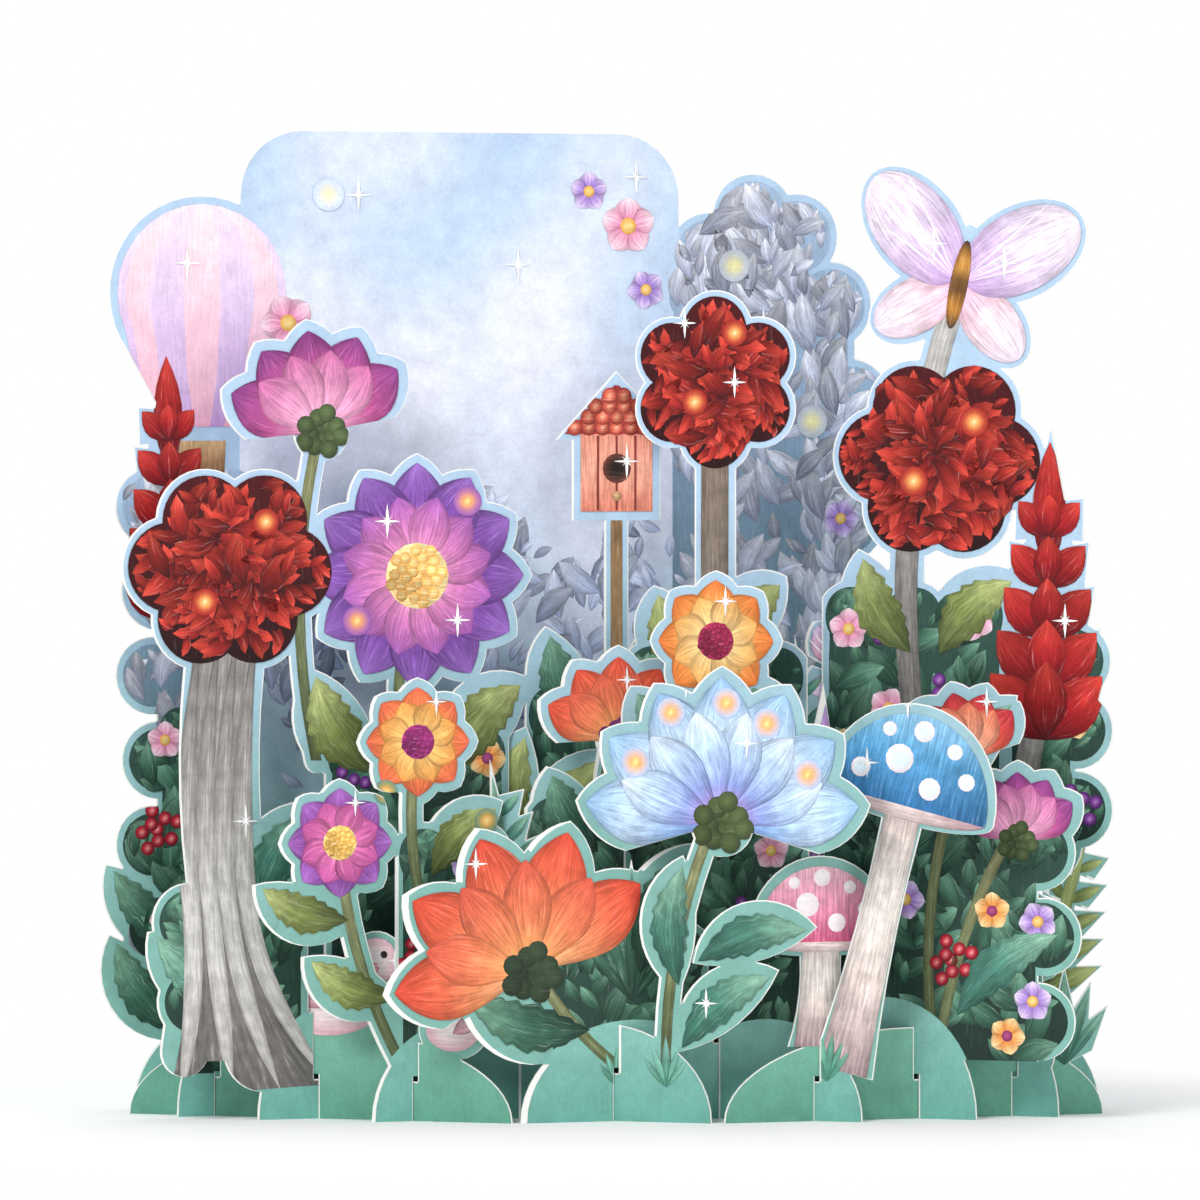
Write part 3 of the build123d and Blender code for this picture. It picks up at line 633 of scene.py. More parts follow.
def toadstool(
    column, rise, cap_radius, cap_height, stalk_width, stalk_height, cap, spots, turn=0.0, layer=4
):
    """Domed cap with pale round spots over pale gills, on a stalk that widens to its foot."""
    margin = 1.5
    u, v = lattice(21, 9)
    x = -(cap_radius - margin) * np.cos(np.pi * u)
    y = (v + 1) / 2 * (cap_height - margin) * np.maximum(np.sin(np.pi * u), 0.03) - 0.4
    light = 1 - 0.35 * np.abs(x / cap_radius + 0.25) ** 2
    tone = ramp(np.clip(y / cap_height, 0, 1), cap) * light[..., None]
    dome = painted(x, y, y, x, tone)
    pale = ("a98f93", "e9d8d2", "f4ece4", "cbb4b0")
    stem = stroke(stalk_height + 1.0, stalk_width - 2.2, "strap", pale, grid=(20, 9))
    flare = 1 + 0.45 * (1 - stem["x"] / stalk_height) ** 2
    stem["y"] = stem["y"] * flare * 0.9
    under = ("b08a94", "f0dcd8", "b08a94")
    gills = stroke(cap_radius * 2 - 2 * margin, cap_height * 0.4 - margin, "oval", under)
    spot = disc(1.0, (spots, spots, "f6e6ea"), light=0.1, grid=(7, 7), press=0.1)
    across = np.array([-0.58, -0.18, 0.22, 0.6, 0.02, -0.36, 0.4]) * cap_radius / pitch
    above = np.array([0.24, 0.42, 0.2, 0.36, 0.74, 0.68, 0.62]) * cap_height / card_high
    sizes = np.array([1.5, 2.2, 1.7, 1.3, 1.6, 1.1, 1.2]) * cap_radius / 14
    up = stalk_height / card_high
    parts = [
        place(stem, 0, 0, 90, layer=layer),
        place(gills, 0, up, 0, out=margin - cap_radius, layer=layer + 1),
        place(dome, 0, up, layer=layer + 2),
        place(spot, across, up + above, 0, sizes, layer=layer + 3),
    ]
    return moved(parts, column, rise, turn)


def tuft(column, rise, length, width, blades, colours, layer=3):
    """Fan of narrow grass blades from one root."""
    lean = np.arange(blades) / (blades - 1) - 0.5
    blade = stroke(1.0, width / length * 0.55, "leaf", colours, vein=0.2, grid=(10, 5))
    sizes = (length - 2) * (1 - np.abs(lean) * 0.5)
    return [place(blade, column, rise, 90 + 78 * lean, sizes, layer=layer, vary=0.15)]


lay_print(
    "front_right_hill",
    [place(mound(1.07, 4.9, 16.4, grass))]
    + toadstool(2.03, 0.075, 14, 15, 10, 19, ("d9658c", "ee9fb8", "f6c8d4"), "fbeef0")
    + toadstool(3.9, 0.08, 10.08, 11.4, 8, 11.4, ("c9507a", "e88aa8", "f3bccb"), "fbeef0")
    + tuft(4.5, 0.05, 18, 5.4, 5, teal_leaf)
    + sparkle([2.6, 3.1], [0.26, 0.05], 3.0),
)

# Shapes of the taller prints: banks of leaves, blossoms, berries, stems, leaves and flowers.


def leaf_heap(puffs, count, ground, colours, seed, size, layer, rosette=False, teeth=0):
    """Overlapping leaves on dark round patches: seeded places, each leaf inside the patches.

    A patch is a centre and a half width and height in millimetres and a power p: it holds the
    points where |x/a| to the p plus |y/b| to the p is less than one. The leaves keep to it, so
    that the bare margin of the card stays free, and a leaf ends where it would leave them. They
    point up and are laid from the top down, or in a rosette point away from the first patch, lie
    about their middles and are laid from the rim inwards."""
    random = np.random.default_rng(seed)
    patches = np.array(puffs, float)
    area = (patches[:, 2] * patches[:, 3]) ** 0.75
    tries_a_leaf = 12
    tries = count * tries_a_leaf
    pick = random.choice(len(patches), tries, p=area / area.sum())
    reach = patches[pick, 2:4]
    x, y = (patches[pick, :2] + reach * random.uniform(-1, 1, (tries, 2))).T
    turns = random.uniform(20, 160, tries)
    away = np.hypot(x - patches[0, 0], y - patches[0, 1])
    sizes = random.uniform(0.5, 1.25, tries) * size
    if rosette:
        turns = np.degrees(np.arctan2(y - patches[0, 1], x - patches[0, 0])) + turns - 90
        c, s = heading(turns)
        x = x - sizes * 0.5 * c
        y = y - sizes * 0.5 * s
    c, s = heading(turns)
    inside = np.ones(tries, bool)
    fits = np.zeros(tries)
    for share in (0.0, 0.25, 0.5, 0.75, 1.0):
        along = x + sizes * share * c
        above = y + sizes * share * s
        wide = np.abs((along[:, None] - patches[:, 0]) / patches[:, 2]) ** patches[:, 4]
        high = np.abs((above[:, None] - patches[:, 1]) / patches[:, 3]) ** patches[:, 4]
        inside &= ((wide + high) < 1).any(1)
        fits = np.where(inside, share, fits)
    sizes = sizes * fits
    chosen = np.flatnonzero(fits > 0.4)[:count]
    chosen = chosen[np.argsort(-away[chosen] if rosette else -y[chosen])]
    steps = 16 if teeth else 8
    blade = stroke(1.0, 0.44, "leaf", colours, 0.06, 0.3, 0.25, teeth=teeth, grid=(steps, 3))
    u, v = lattice(17, 7)
    patch = patches[:, :, None, None]
    side = -np.cos(np.pi * u)
    bulge = np.maximum(1 - np.abs(side) ** patch[:, 4], 0.0009) ** (1 / patch[:, 4])
    across = patch[:, 0] + patch[:, 2] * side
    above = patch[:, 1] + patch[:, 3] * v * bulge
    low = (patches[:, 1] - patches[:, 3]).min()
    high = (patches[:, 1] + patches[:, 3]).max()
    rise = np.clip((above - low) / (high - low), 0, 1)
    number = np.arange(len(patches)).reshape(-1, 1, 1)
    floor = {
        "x": across,
        "y": above,
        "z": np.zeros_like(above) + film_height(layer, number),
        "along": above,
        "across": across,
        "ink": ramp(rise, ground),
        "press": 0.3,
    }
    columns = x[chosen] / pitch
    rises = y[chosen] / card_high
    heap = place(blade, columns, rises, turns[chosen], sizes[chosen], layer=layer + 1, vary=0.35)
    return [floor, heap]


def bank(
    from_column,
    to_column,
    foot,
    rise,
    lobes,
    count,
    seed,
    puffs=(),
    puff=5.6,
    colours=dark_leaf,
    ground=shade,
    layer=0,
):
    """Bank of foliage: leaves heaped up to its row of shallow lobes, and over its side puffs."""
    left = from_column * pitch
    chord = (to_column - from_column) * pitch / lobes
    base = foot * card_high
    margin = 1.4
    middle = (from_column + to_column) / 2 * pitch
    eave = rise * card_high - 1.3 - chord * 0.28
    lobe = (chord / 2 - margin * 0.5, chord * 0.28 + 2.0, 2.2)
    half = (chord * lobes / 2 - margin, (eave - base) / 2 - margin * 0.4, 30)
    patches = [(middle, (base + eave) / 2, *half)]
    for number in range(lobes):
        patches.append((left + chord * (number + 0.5), eave - 2.0, *lobe))
    for column, share in puffs:
        patches.append((column * pitch, share * card_high, puff, puff, 2))
    return leaf_heap(patches, count, ground, colours, seed, 8.3, layer)


def blossoms(places, radius, petals, heart, layer=2):
    """Small open flowers of five round petals about a heart, each place a column and a rise."""
    columns, rises = np.array(places, float).T
    petal = stroke(radius, radius * 0.95, "petal", petals, vein=0.2, edge=0.3, grid=(9, 5))
    turns = (np.arange(5) * 72.0 + 90 + np.arange(len(places))[:, None] * 25).ravel()
    centre = disc(radius * 0.3, heart, light=0.2, grid=(6, 6), press=0.2)
    return [
        place(petal, np.repeat(columns, 5), np.repeat(rises, 5), turns, layer=layer),
        place(centre, columns, rises, layer=layer + 1),
    ]


def berries(places, radius, colours, layer=2):
    """Bunches of nine round berries, each place a column and a rise."""
    columns, rises = np.array(places, float).T[:, :, None]
    across, above = seeds(9, radius * 3.3)
    berry = disc(radius, colours, light=0.35, grid=(7, 7), press=0.2)
    columns = (columns + across).ravel()
    rises = (rises + above).ravel()
    return [place(berry, columns, rises, layer=layer, vary=0.15)]


def stems(feet, heads, width, colours, bow=0.06, layer=3):
    """Bowed stems between two places each, thinner than the card that carries them."""
    drawn = []
    for foot, head in zip(feet, heads):
        length, turn = span(foot, head)
        stem = stroke(length, width - 2.6, "strap", colours, bend=bow, vein=0.2, grid=(16, 5))
        drawn.append(place(stem, *foot, turn, layer=layer))
    return drawn


def leaves(places, length, width, colours, layer=4):
    """Leaves with nicked edges, a pale midrib and side veins: each a column, a rise and a turn."""
    edged = {"bend": 0.1, "vein": 0.35, "veins": 6, "teeth": 7, "grid": (36, 9)}
    shape = stroke(length - 3.4, width - 3.0, "leaf", colours, **edged)
    return [place(shape, *np.array(places, float).T, out=1.4, layer=layer, vary=0.12)]


def lily(column, rise, turn, radius, width, petals, spread, outer, inner, cup, layer=6):
    """Flower from the side: a back fan of petals, a shorter front fan and a scaly cup."""
    fan = turn + 90 + spread * (np.arange(petals) / (petals - 1) - 0.5)
    order = fan[np.argsort(-np.abs(fan - fan.mean()))]
    back = stroke(radius - 2.2, width - 2.8, "petal", outer, vein=0.2, edge=0.45, grid=(20, 9))
    near = stroke(radius * 0.72, width * 0.62, "petal", inner, vein=0.25, edge=0.4, grid=(18, 9))
    between_fan = (fan[:-1] + fan[1:]) / 2
    scale = disc(width * 0.13, cup, light=0.25, grid=(7, 7), press=0.3)
    across, above = seeds(14, width * 0.3)
    return [
        place(back, column, rise, order, layer=layer, vary=0.08),
        place(near, column, rise, between_fan, layer=layer + 1, vary=0.08),
        place(scale, column + across, rise + above, layer=layer + 2, vary=0.2),
    ]


def spire(column, rise, turn, length, width, tiers, colours, layer=5):
    """Flower spike: pairs of pointed florets, shorter towards the tip, laid from the tip down."""
    number = np.repeat(np.arange(tiers)[::-1], 2)
    side = np.tile([-1.0, 1.0], tiers)
    share = number / tiers
    floret = stroke(1.0, 0.6, "leaf", colours, vein=0.3, grid=(10, 5))
    sizes = width * (0.8 - 0.42 * share) - 1.2
    tip = stroke(length * 0.42, width * 0.3, "leaf", colours, vein=0.2, grid=(10, 5))
    columns, rises = on_rib(column, rise, turn, length * share * 0.8)
    return [
        place(tip, column, rise, turn, out=length * 0.52, layer=layer),
        place(floret, columns, rises, turn + side * 42, sizes, layer=layer + 1, vary=0.2),
        place(floret, columns[::2], rises[::2], turn, sizes[::2] * 0.9, layer=layer + 2, vary=0.2),
    ]


def fern(column, rise, turn, length, colours, layer=4):
    """Fern frond: a midrib with pairs of narrow leaflets that shorten towards the tip."""
    pairs = 5
    number = np.repeat(np.arange(pairs), 2)
    side = np.tile([-1.0, 1.0], pairs)
    share = (number + 1) / (pairs + 1)
    blade = stroke(1.0, 0.3, "leaf", colours, vein=0.35, grid=(12, 5))
    rib = stroke(length - 3, 2.8, "leaf", colours, vein=0.3, grid=(16, 5))
    sizes = 13 * (1.15 - 0.7 * share) - 1.4
    columns, rises = on_rib(column, rise, turn, length * share * 0.85)
    return [
        place(blade, columns, rises, turn + side * 52, sizes, layer=layer, vary=0.15),
        place(rib, column, rise, turn, layer=layer + 1),
    ]


# Print of the centre left sheet: hills, a coral lily seen from the side, a purple flower spike,
# grass and ferns, in front of dark foliage.

lay_print(
    "centre_left_sheet",
    bank(-0.7, 0.92, 0.03, 0.2, 3, 70, 3)
    + bank(1.08, 2.92, 0.03, 0.24, 3, 100, 53)
    + hills((2.4, 4.9, 19.25), (0.4, 3.2, 19.25), (-0.95, 1.3, 17.5))
    + stems([(0.2, 0.04), (1.8, 0.08)], [(-0.85, 0.16), (2.0, 0.24)], 4.6, stem_ink, layer=5)
    + tuft(0.15, 0.12, 25, 5.4, 5, dark_leaf, layer=5)
    + leaves([(-0.2, 0.09, 165), (0.2, 0.14, 64)], 27.2, 12.5, dark_leaf, layer=6)
    + leaves([(1.95, 0.16, 118), (2.1, 0.16, 50)], 21.1, 10, teal_leaf, layer=6)
    + lily(-0.85, 0.15, 22, 28, 15, 5, 150, *coral_lily, ("3a4a34", "2c3a2a"), layer=7)
    + spire(2.0, 0.2, 88, 42, 14, 6, ("6a3f8e", "9a6cb8", "c9a6da"), layer=7)
    + bank(3.1, 4.5, 0.03, 0.22, 2, 70, 4)
    + fern(3.75, 0.09, 98, 40, teal_leaf, layer=5)
    + fern(4.18, 0.09, 72, 40, olive_leaf, layer=7)
    + blossoms([(2.6, 0.17), (1.3, 0.18), (3.4, 0.18)], 3.4, *pink_blossom, layer=6)
    + tuft(-0.0, 0.035, 9, 3.4, 5, low_tuft, layer=8)
    + sparkle([-1.4, -0.5, 0.6, 2.1], [0.26, 0.32, 0.1, 0.3], 4.5),
)

# Print of the centre right sheet: a large pale blue lily with small warm lights in its petals,
# grey green leaves and ferns.

pale_bloom = ("6f7fd0", "8fb4e6", "c4dcf4", "9cc6ee")
pale_near = ("c57ab0", "8f9fe0", "b9d4f4", "dceafa")
lay_print(
    "centre_right_sheet",
    bank(-1.92, -0.08, 0.03, 0.24, 3, 100, 5)
    + hills((-4.9, -2.4, 19.25), (-3.2, -0.4, 19.25), (-1.3, 0.95, 17.5))
    + stems([(0.5, 0.05)], [(1.05, 0.32)], 4.6, stem_ink, layer=5)
    + leaves([(0.6, 0.07, 38), (0.75, 0.16, 16), (0.62, 0.13, 88)], 24.5, 10.75, teal_leaf, layer=6)
    + leaves([(-0.8, 0.14, 54), (-1.15, 0.14, 118)], 19.7, 12.5, olive_leaf, layer=6)
    + lily(1.05, 0.3, 0, 28, 15, 7, 165, pale_bloom, pale_near, ("59683f", "3c4a2e"), layer=7)
    + glow(
        [0.2, 0.55, 1.5, 1.9, 1.1],
        [0.36, 0.41, 0.4, 0.35, 0.42],
        2.7,
        ("f9e79a", "f4b56a", "dcc4c4", "b4ccee"),
    )
    + fern(-1.0, 0.16, 98, 36, teal_leaf, layer=7)
    + bank(-4.5, -3.1, 0.03, 0.2, 2, 70, 6)
    + fern(-4.2, 0.09, 104, 36, teal_leaf, layer=5)
    + tuft(0.5, 0.035, 11, 3.4, 5, ("4a8270", "6ca692", "87bcb1"), layer=8)
    + blossoms([(-0.4, 0.2), (-1.6, 0.2)], 3.2, *lilac_blossom, layer=6)
    + sparkle([0.7, 1.3, 0.9], [0.44, 0.38, 0.12], 4.5),
)

# Print of the left front sheet: an orange and a purple daisy, a coral lily, a fern and a small
# butterfly, above hills and dark foliage.


def daisy(column, rise, radius, width, petals, outer, inner, heart, layer=6):
    """Flower from the front: a back ring of petals, a shorter ring between and a beaded heart."""
    turns = 90 + np.arange(petals) * 360.0 / petals
    back = stroke(radius - 1.8, width - 2.2, "petal", outer, vein=0.2, edge=0.45, grid=(16, 7))
    near = stroke(radius * 0.66, width * 0.62, "petal", inner, vein=0.2, edge=0.4, grid=(14, 7))
    bead = disc(radius * 0.05, heart, light=0.2, grid=(6, 6))
    across, above = seeds(26, radius * 0.24)
    return [
        place(back, column, rise, turns, layer=layer, vary=0.1),
        place(near, column, rise, turns + 180.0 / petals, layer=layer + 1, vary=0.1),
        place(disc(radius * 0.27, heart[::-1], light=0.2), column, rise, layer=layer + 2),
        place(bead, column + across, rise + above, layer=layer + 3, vary=0.3),
    ]


def butterfly(column, rise, turn, length, width, wing, low_wing, pointed, layer=6):
    """Open butterfly: two long wings with pale rays, two short ones and a body."""
    kind = "petal" if pointed else "oval"
    short = length * 0.72 - 2.0
    narrow = width * 0.72 - 2.2
    upper = stroke(length - 2.0, width - 2.4, kind, wing, vein=0.3, edge=0.3, grid=(18, 9))
    lower = stroke(short, narrow, kind, low_wing, vein=0.3, edge=0.3, grid=(16, 9))
    rays = stroke(length * 0.8, 0.35, "leaf", ("fdf6fb",), edge=0.0, grid=(8, 3))
    furry = ("3a2a26", "c98a3c", "3a2a26", "d99a48", "2a1c1a")
    body = stroke(length * 0.62, width * 0.2, "oval", furry)
    fan = np.array([-14.0, -5.0, 5.0, 14.0])
    rayed = turn + np.concatenate([38 + fan, 142 + fan])
    return [
        place(lower, column, rise, turn + np.array([-38.0, 218.0]), out=1.0, layer=layer),
        place(upper, column, rise, turn + np.array([38.0, 142.0]), out=1.0, layer=layer + 1),
        place(rays, column, rise, rayed, out=2.0, layer=layer + 2),
        place(body, column, rise, turn + 90, out=-length * 0.32, layer=layer + 3),
    ]


purple_daisy = (("b4477f", "8a3f94", "a86cc0"), ("e07aa8", "c45aa0"), ("f6dc8a", "e0a040"))
orange_daisy = (("f6b35e", "f08a4a", "e8694a"), ("f9cf7e", "f2a050"), ("a8327a", "7a2a5c"))
small_wings = (("d97aa8", "f0b3cd", "d7c3e6"), ("c9a6da", "efdff0"))
lay_print(
    "left_front_sheet",
    bank(-2.2, -1.08, 0.03, 0.3, 2, 100, 7)
    + bank(-0.92, 0.92, 0.03, 0.33, 3, 150, 57)
    + bank(1.08, 2.4, 0.03, 0.36, 3, 130, 58)
    + hills((0.4, 2.6, 21), (-1.4, 1.5, 24), (-2.43, -0.6, 17.5))
    + stems([(-2.1, 0.05), (-1.9, 0.2)], [(-2.75, 0.28), (-1.98, 0.38)], 4.6, stem_ink)
    + stems([(-0.1, 0.28)], [(0.02, 0.4)], 4.6, stem_ink)
    + stems([(2.0, 0.3)], [(2.32, 0.44)], 3.8, stem_ink)
    + leaves([(-2.15, 0.12, 156), (-1.9, 0.24, 44), (-2.6, 0.2, 160)], 20.4, 10.6, olive_leaf)
    + leaves([(-0.15, 0.26, 122), (0.2, 0.26, 46)], 19.7, 12.5, dark_leaf)
    + leaves([(2.1, 0.28, 50), (1.6, 0.28, 106)], 20.4, 10, teal_leaf)
    + daisy(-2.75, 0.28, 11.5, 9, 8, *purple_daisy)
    + daisy(-1.98, 0.38, 11.5, 9, 8, *orange_daisy)
    + lily(0.02, 0.38, 0, 17, 11, 5, 130, *coral_lily, ("8a3f7a", "6a2f60"))
    + fern(1.95, 0.26, 94, 40, teal_leaf, layer=6)
    + blossoms([(-1.5, 0.26), (0.55, 0.29), (1.4, 0.3)], 3.4, *lilac_blossom)
    + berries([(-0.6, 0.24), (-2.0, 0.16)], 1.2, cherry)
    + butterfly(2.32, 0.44, -20, 11.96, 8.5, *small_wings, True)
    + glow([-2.3, -1.3], [0.33, 0.3], 2.2, ("f9e79a", "eeb062", "9c9a5e", "6f9080"))
    + sparkle([-2.6, -1.8, 0.1], [0.32, 0.42, 0.44], 4.0),
)

# Print of the right front sheet: a large blue toadstool, an orange daisy on a stem, and leaves.

blue_cap = ("3f7fb8", "5fa8d8", "9fd0ee")
amber_daisy = (("f9cf7e", "f2a050", "e87a3c"), ("fbe0a0", "f4b060"), ("b4305a", "7a1f3c"))
lay_print(
    "right_front_sheet",
    bank(0.08, 1.92, 0.03, 0.32, 3, 150, 11)
    + bank(-1.92, -0.08, 0.03, 0.32, 3, 150, 61)
    + hills((-2.6, -0.4, 21), (-1.5, 1.4, 24), (0.6, 2.45, 17.5))
    + stems([(0.9, 0.26)], [(1.0, 0.48)], 4.6, stem_ink, layer=3)
    + toadstool(2.25, 0.05, 16.8, 18, 9.5, 49.4, blue_cap, "e3f2fb", -14, layer=5)
    + leaves(
        [(0.8, 0.27, 112), (1.15, 0.27, 48), (0.86, 0.36, 136), (0.86, 0.38, 24)],
        19,
        12.5,
        teal_leaf,
    )
    + leaves([(-1.0, 0.24, 86), (-0.8, 0.24, 58), (-1.2, 0.24, 112)], 27.2, 12.5, olive_leaf)
    + blossoms([(1.55, 0.27), (0.5, 0.24), (-0.5, 0.27)], 3.4, *pink_blossom)
    + berries([(1.3, 0.2), (-1.6, 0.25)], 1.2, plum)
    + tuft(2.1, 0.04, 11, 3.4, 6, low_tuft, layer=9)
    + daisy(1.0, 0.48, 12.65, 9.9, 8, *amber_daisy)
    + sparkle([1.1, 2.5, 2.9], [0.52, 0.36, 0.42], 4.5),
)

# Print of the left middle sheet: the giant bloom in purple and pink, a rose lily, a grey tree
# with a dark red crown and a small coral birdhouse on a post.


def facet(x, low, low_half, high, high_half, colours, layer):
    """Flat painted area with a level foot and head, in millimetres, its colours run upwards."""
    u, v = lattice(9, 7, low=0.0)
    across = x + (2 * u - 1) * (low_half * (1 - v) + high_half * v)
    above = low * (1 - v) + high * v
    return [place(painted(across, above, above, across, ramp(v, colours)), layer=layer)]


def bark(foot, head, width, flare, layer):
    """Grey trunk of long strands, light and dark in turn, that spreads towards its foot.

    At a share s of its length, below 1 / 2.4, each distance from its bowed middle is multiplied
    by 1 + flare * (1 - 2.4 s) squared."""
    bend = 0.06
    length, turn = span(foot, head)
    dark = ("6e6a68", "8d8884", "9a9692")
    light = ("a8a4a0", "c9c6c2", "9a9692", "6a6664")
    trunk = stroke(length, width - 3.2, "strap", dark, bend=bend, grid=(24, 9))
    strand = stroke(length, width * 0.24, "leaf", light, bend=bend, grid=(28, 5))
    parts = [place(trunk, layer=layer)]
    for side in (-0.36, -0.12, 0.1, 0.34):
        parts.append(place(strand, 0, side * width / card_high, vary=0.2, layer=layer + 1))
    for number, part in enumerate(parts):
        share = part["x"] / length
        middle = bend * 4 * share * (1 - share) * length
        spread = 1 + flare * np.maximum(0, 1 - 2.4 * share) ** 2
        part["y"] = middle + (part["y"] - middle) * spread
        part["z"] = part["z"] + copy_step * number
    return moved(parts, *foot, turn)


def crown(column, rise, puffs, radius, count, seed, layer):
    """Crown of round puffs, covered with dark red leaves that point outwards all round."""
    patches = [(column * pitch + x, rise * card_high + y, radius, radius, 2) for x, y in puffs]
    red = ("3f0a10", "942420", "d84a3a")
    return leaf_heap(patches, count, ("20070b", "4a0e14"), red, seed, 7.2, layer, True, teeth=3)


bush = [(0, 0), (-1.2, 0.1), (-0.5, 1.0), (0.7, 1.0), (1.2, 0), (0.5, -0.9), (-0.6, -0.9)]
bush_puffs = [(x * 9.2, y * 9.2) for x, y in bush]
sixths = np.radians(np.arange(90, 450, 60))
round_puffs = [(0, 0), *zip(9.5 * np.cos(sixths), 9.5 * np.sin(sixths))]


def birdhouse(column, foot):
    """Gabled house on a post, with boards, a round hole, a perch and a shingled roof."""
    x = column * pitch
    base = foot * card_high
    post = (foot + 0.48) * card_high
    board = stroke(13.5, 0.45, "strap", ("8a3a34",), edge=0.0, grid=(6, 3))
    boards = (x + np.array([-3.6, 0, 3.6])) / pitch
    shingle = disc(1.5, ("f0b090", "d0604a", "8a2f2a"), light=0.2, grid=(7, 7))
    row = np.repeat([0, 1, 2, 3], [7, 5, 4, 2])
    seat = np.concatenate([np.arange(n) - (n - 1) / 2 for n in (7, 5, 4, 2)])
    rows = (post + 16.8 + row * 1.9) / card_high
    hole = disc(2.7, ("1c1210", "2a1a16", "6a3a30"), light=0.1)
    perch = disc(0.9, ("f2d0a0", "b08050"), light=0.3)
    return (
        facet(x, base, 1.1, post, 1.1, ("6a5a44", "a88c66", "8a6a4a"), 6)
        + facet(x, post + 1.6, 6.9, post + 17, 6.9, ("d8806a", "f0a890", "e4907a"), 7)
        + [place(board, boards, (post + 1.8) / card_high, 90, layer=8)]
        + facet(x, post + 15.6, 10, post + 24.4, 0.4, ("a8362f", "c8483c", "8a2a28"), 9)
        + [place(shingle, (x + seat * 2.7) / pitch, rows, layer=10, vary=0.2)]
        + [place(hole, column, (post + 9.4) / card_high, layer=11)]
        + [place(perch, column, (post + 4.4) / card_high, layer=11)]
    )


giant_bloom = (
    ("e890b8", "b060b0", "7a4aa0", "9a6cc0"),
    ("f4b8d0", "d880b8", "a860b4"),
    ("f8e0a0", "e8a850"),
)
lay_print(
    "left_middle_sheet",
    bank(-2.92, -1.08, 0.03, 0.4, 3, 170, 13)
    + bank(-0.92, 0.92, 0.03, 0.44, 3, 200, 63)
    + hills((-0.6, 1.7, 27), (-2.6, 0.4, 27), (-3.58, -1.8, 21))
    + bank(-4.3, -3.08, 0.03, 0.22, 2, 70, 14, [(-4.25, 0.2), (-4.2, 0.12)])
    + stems([(-3.0, 0.36), (-2.1, 0.3)], [(-2.95, 0.7), (-2.0, 0.545)], 4.6, stem_ink, layer=2)
    + bark((-3.62, 0.03), (-3.85, 0.5), 15, 1.7, 6)
    + crown(-3.85, 0.55, bush_puffs, 8.0, 270, 43, 10)
    + lily(-2.95, 0.69, 8, 20.4, 13.2, 5, 120, *rose_lily, green_cup, layer=8)
    + leaves([(-3.6, 0.12, 148), (-3.6, 0.2, 62)], 23.8, 12.5, teal_leaf, layer=4)
    + leaves([(-2.4, 0.34, 122), (-1.7, 0.34, 50)], 23.8, 13.75, olive_leaf)
    + leaves([(-0.2, 0.38, 116), (0.2, 0.4, 54)], 22.4, 12.5, dark_leaf)
    + daisy(-2.0, 0.545, 22, 13, 12, *giant_bloom)
    + birdhouse(0.0, 0.12)
    + blossoms([(-0.6, 0.4), (0.65, 0.39), (-1.3, 0.36)], 3.6, *warm_blossom)
    + berries([(-2.7, 0.33), (-4.1, 0.13)], 1.2, plum)
    + glow([-2.6, -1.5], [0.5, 0.62], 2.7, ("f9e79a", "f2a568", "c07aa4", "9a60b4"))
    + glow([-4.1, -3.5], [0.52, 0.6], 2.4, ember)
    + sparkle([-2.3, -1.6, 0.1, -3.7], [0.6, 0.5, 0.66, 0.3], 5.0),
)

# Print of the right middle sheet: a rose and a red lily, and a tree with a dark red crown.

lay_print(
    "right_middle_sheet",
    bank(2.08, 4.25, 0.05, 0.33, 3, 210, 18, [(4.2, 0.1), (4.26, 0.185), (4.2, 0.27), (3.95, 0.31)])
    + bank(0.08, 1.92, 0.03, 0.48, 3, 210, 17)
    + hills((-1.7, 0.6, 27), (-0.4, 2.6, 27), (1.8, 3.6, 21))
    + stems([(3.2, 0.04), (3.15, 0.1)], [(4.0, 0.3), (3.5, 0.37)], 4.6, stem_ink)
    + blossoms([(4.15, 0.12), (4.2, 0.2), (2.9, 0.22)], 3.6, *lilac_blossom, layer=3)
    + blossoms([(3.75, 0.21), (0.5, 0.44), (3.9, 0.085)], 3.4, *warm_blossom, layer=3)
    + berries([(3.35, 0.16), (1.5, 0.42)], 1.3, cherry, layer=3)
    + leaves([(3.35, 0.1, 38), (3.0, 0.27, 90), (3.2, 0.3, 56)], 27.2, 11.25, teal_leaf)
    + leaves([(0.85, 0.44, 118), (1.1, 0.46, 52)], 19, 12.5, olive_leaf)
    + lily(4.0, 0.28, 0, 14.6, 9.9, 5, 110, *rose_lily, green_cup)
    + lily(3.5, 0.36, 12, 14.6, 9.9, 5, 110, *red_lily, green_cup)
    + stems([(1.0, 0.12)], [(1.0, 0.7)], 7.8, ("6e6660", "9a8f84", "7a6a5c"), bow=0.001, layer=5)
    + crown(1.0, 0.74, round_puffs, 6.0, 180, 19, 6)
    + glow([0.8, 1.2], [0.72, 0.79], 2.4, ember)
    + sparkle([1.2, 0.7, 3.7], [0.74, 0.8, 0.42], 4.5),
)

# Print of the sky sheet: the plain board with soft clouds, a striped balloon, a dark red spire
# at the left and banks of pale grey leaves at both sides.


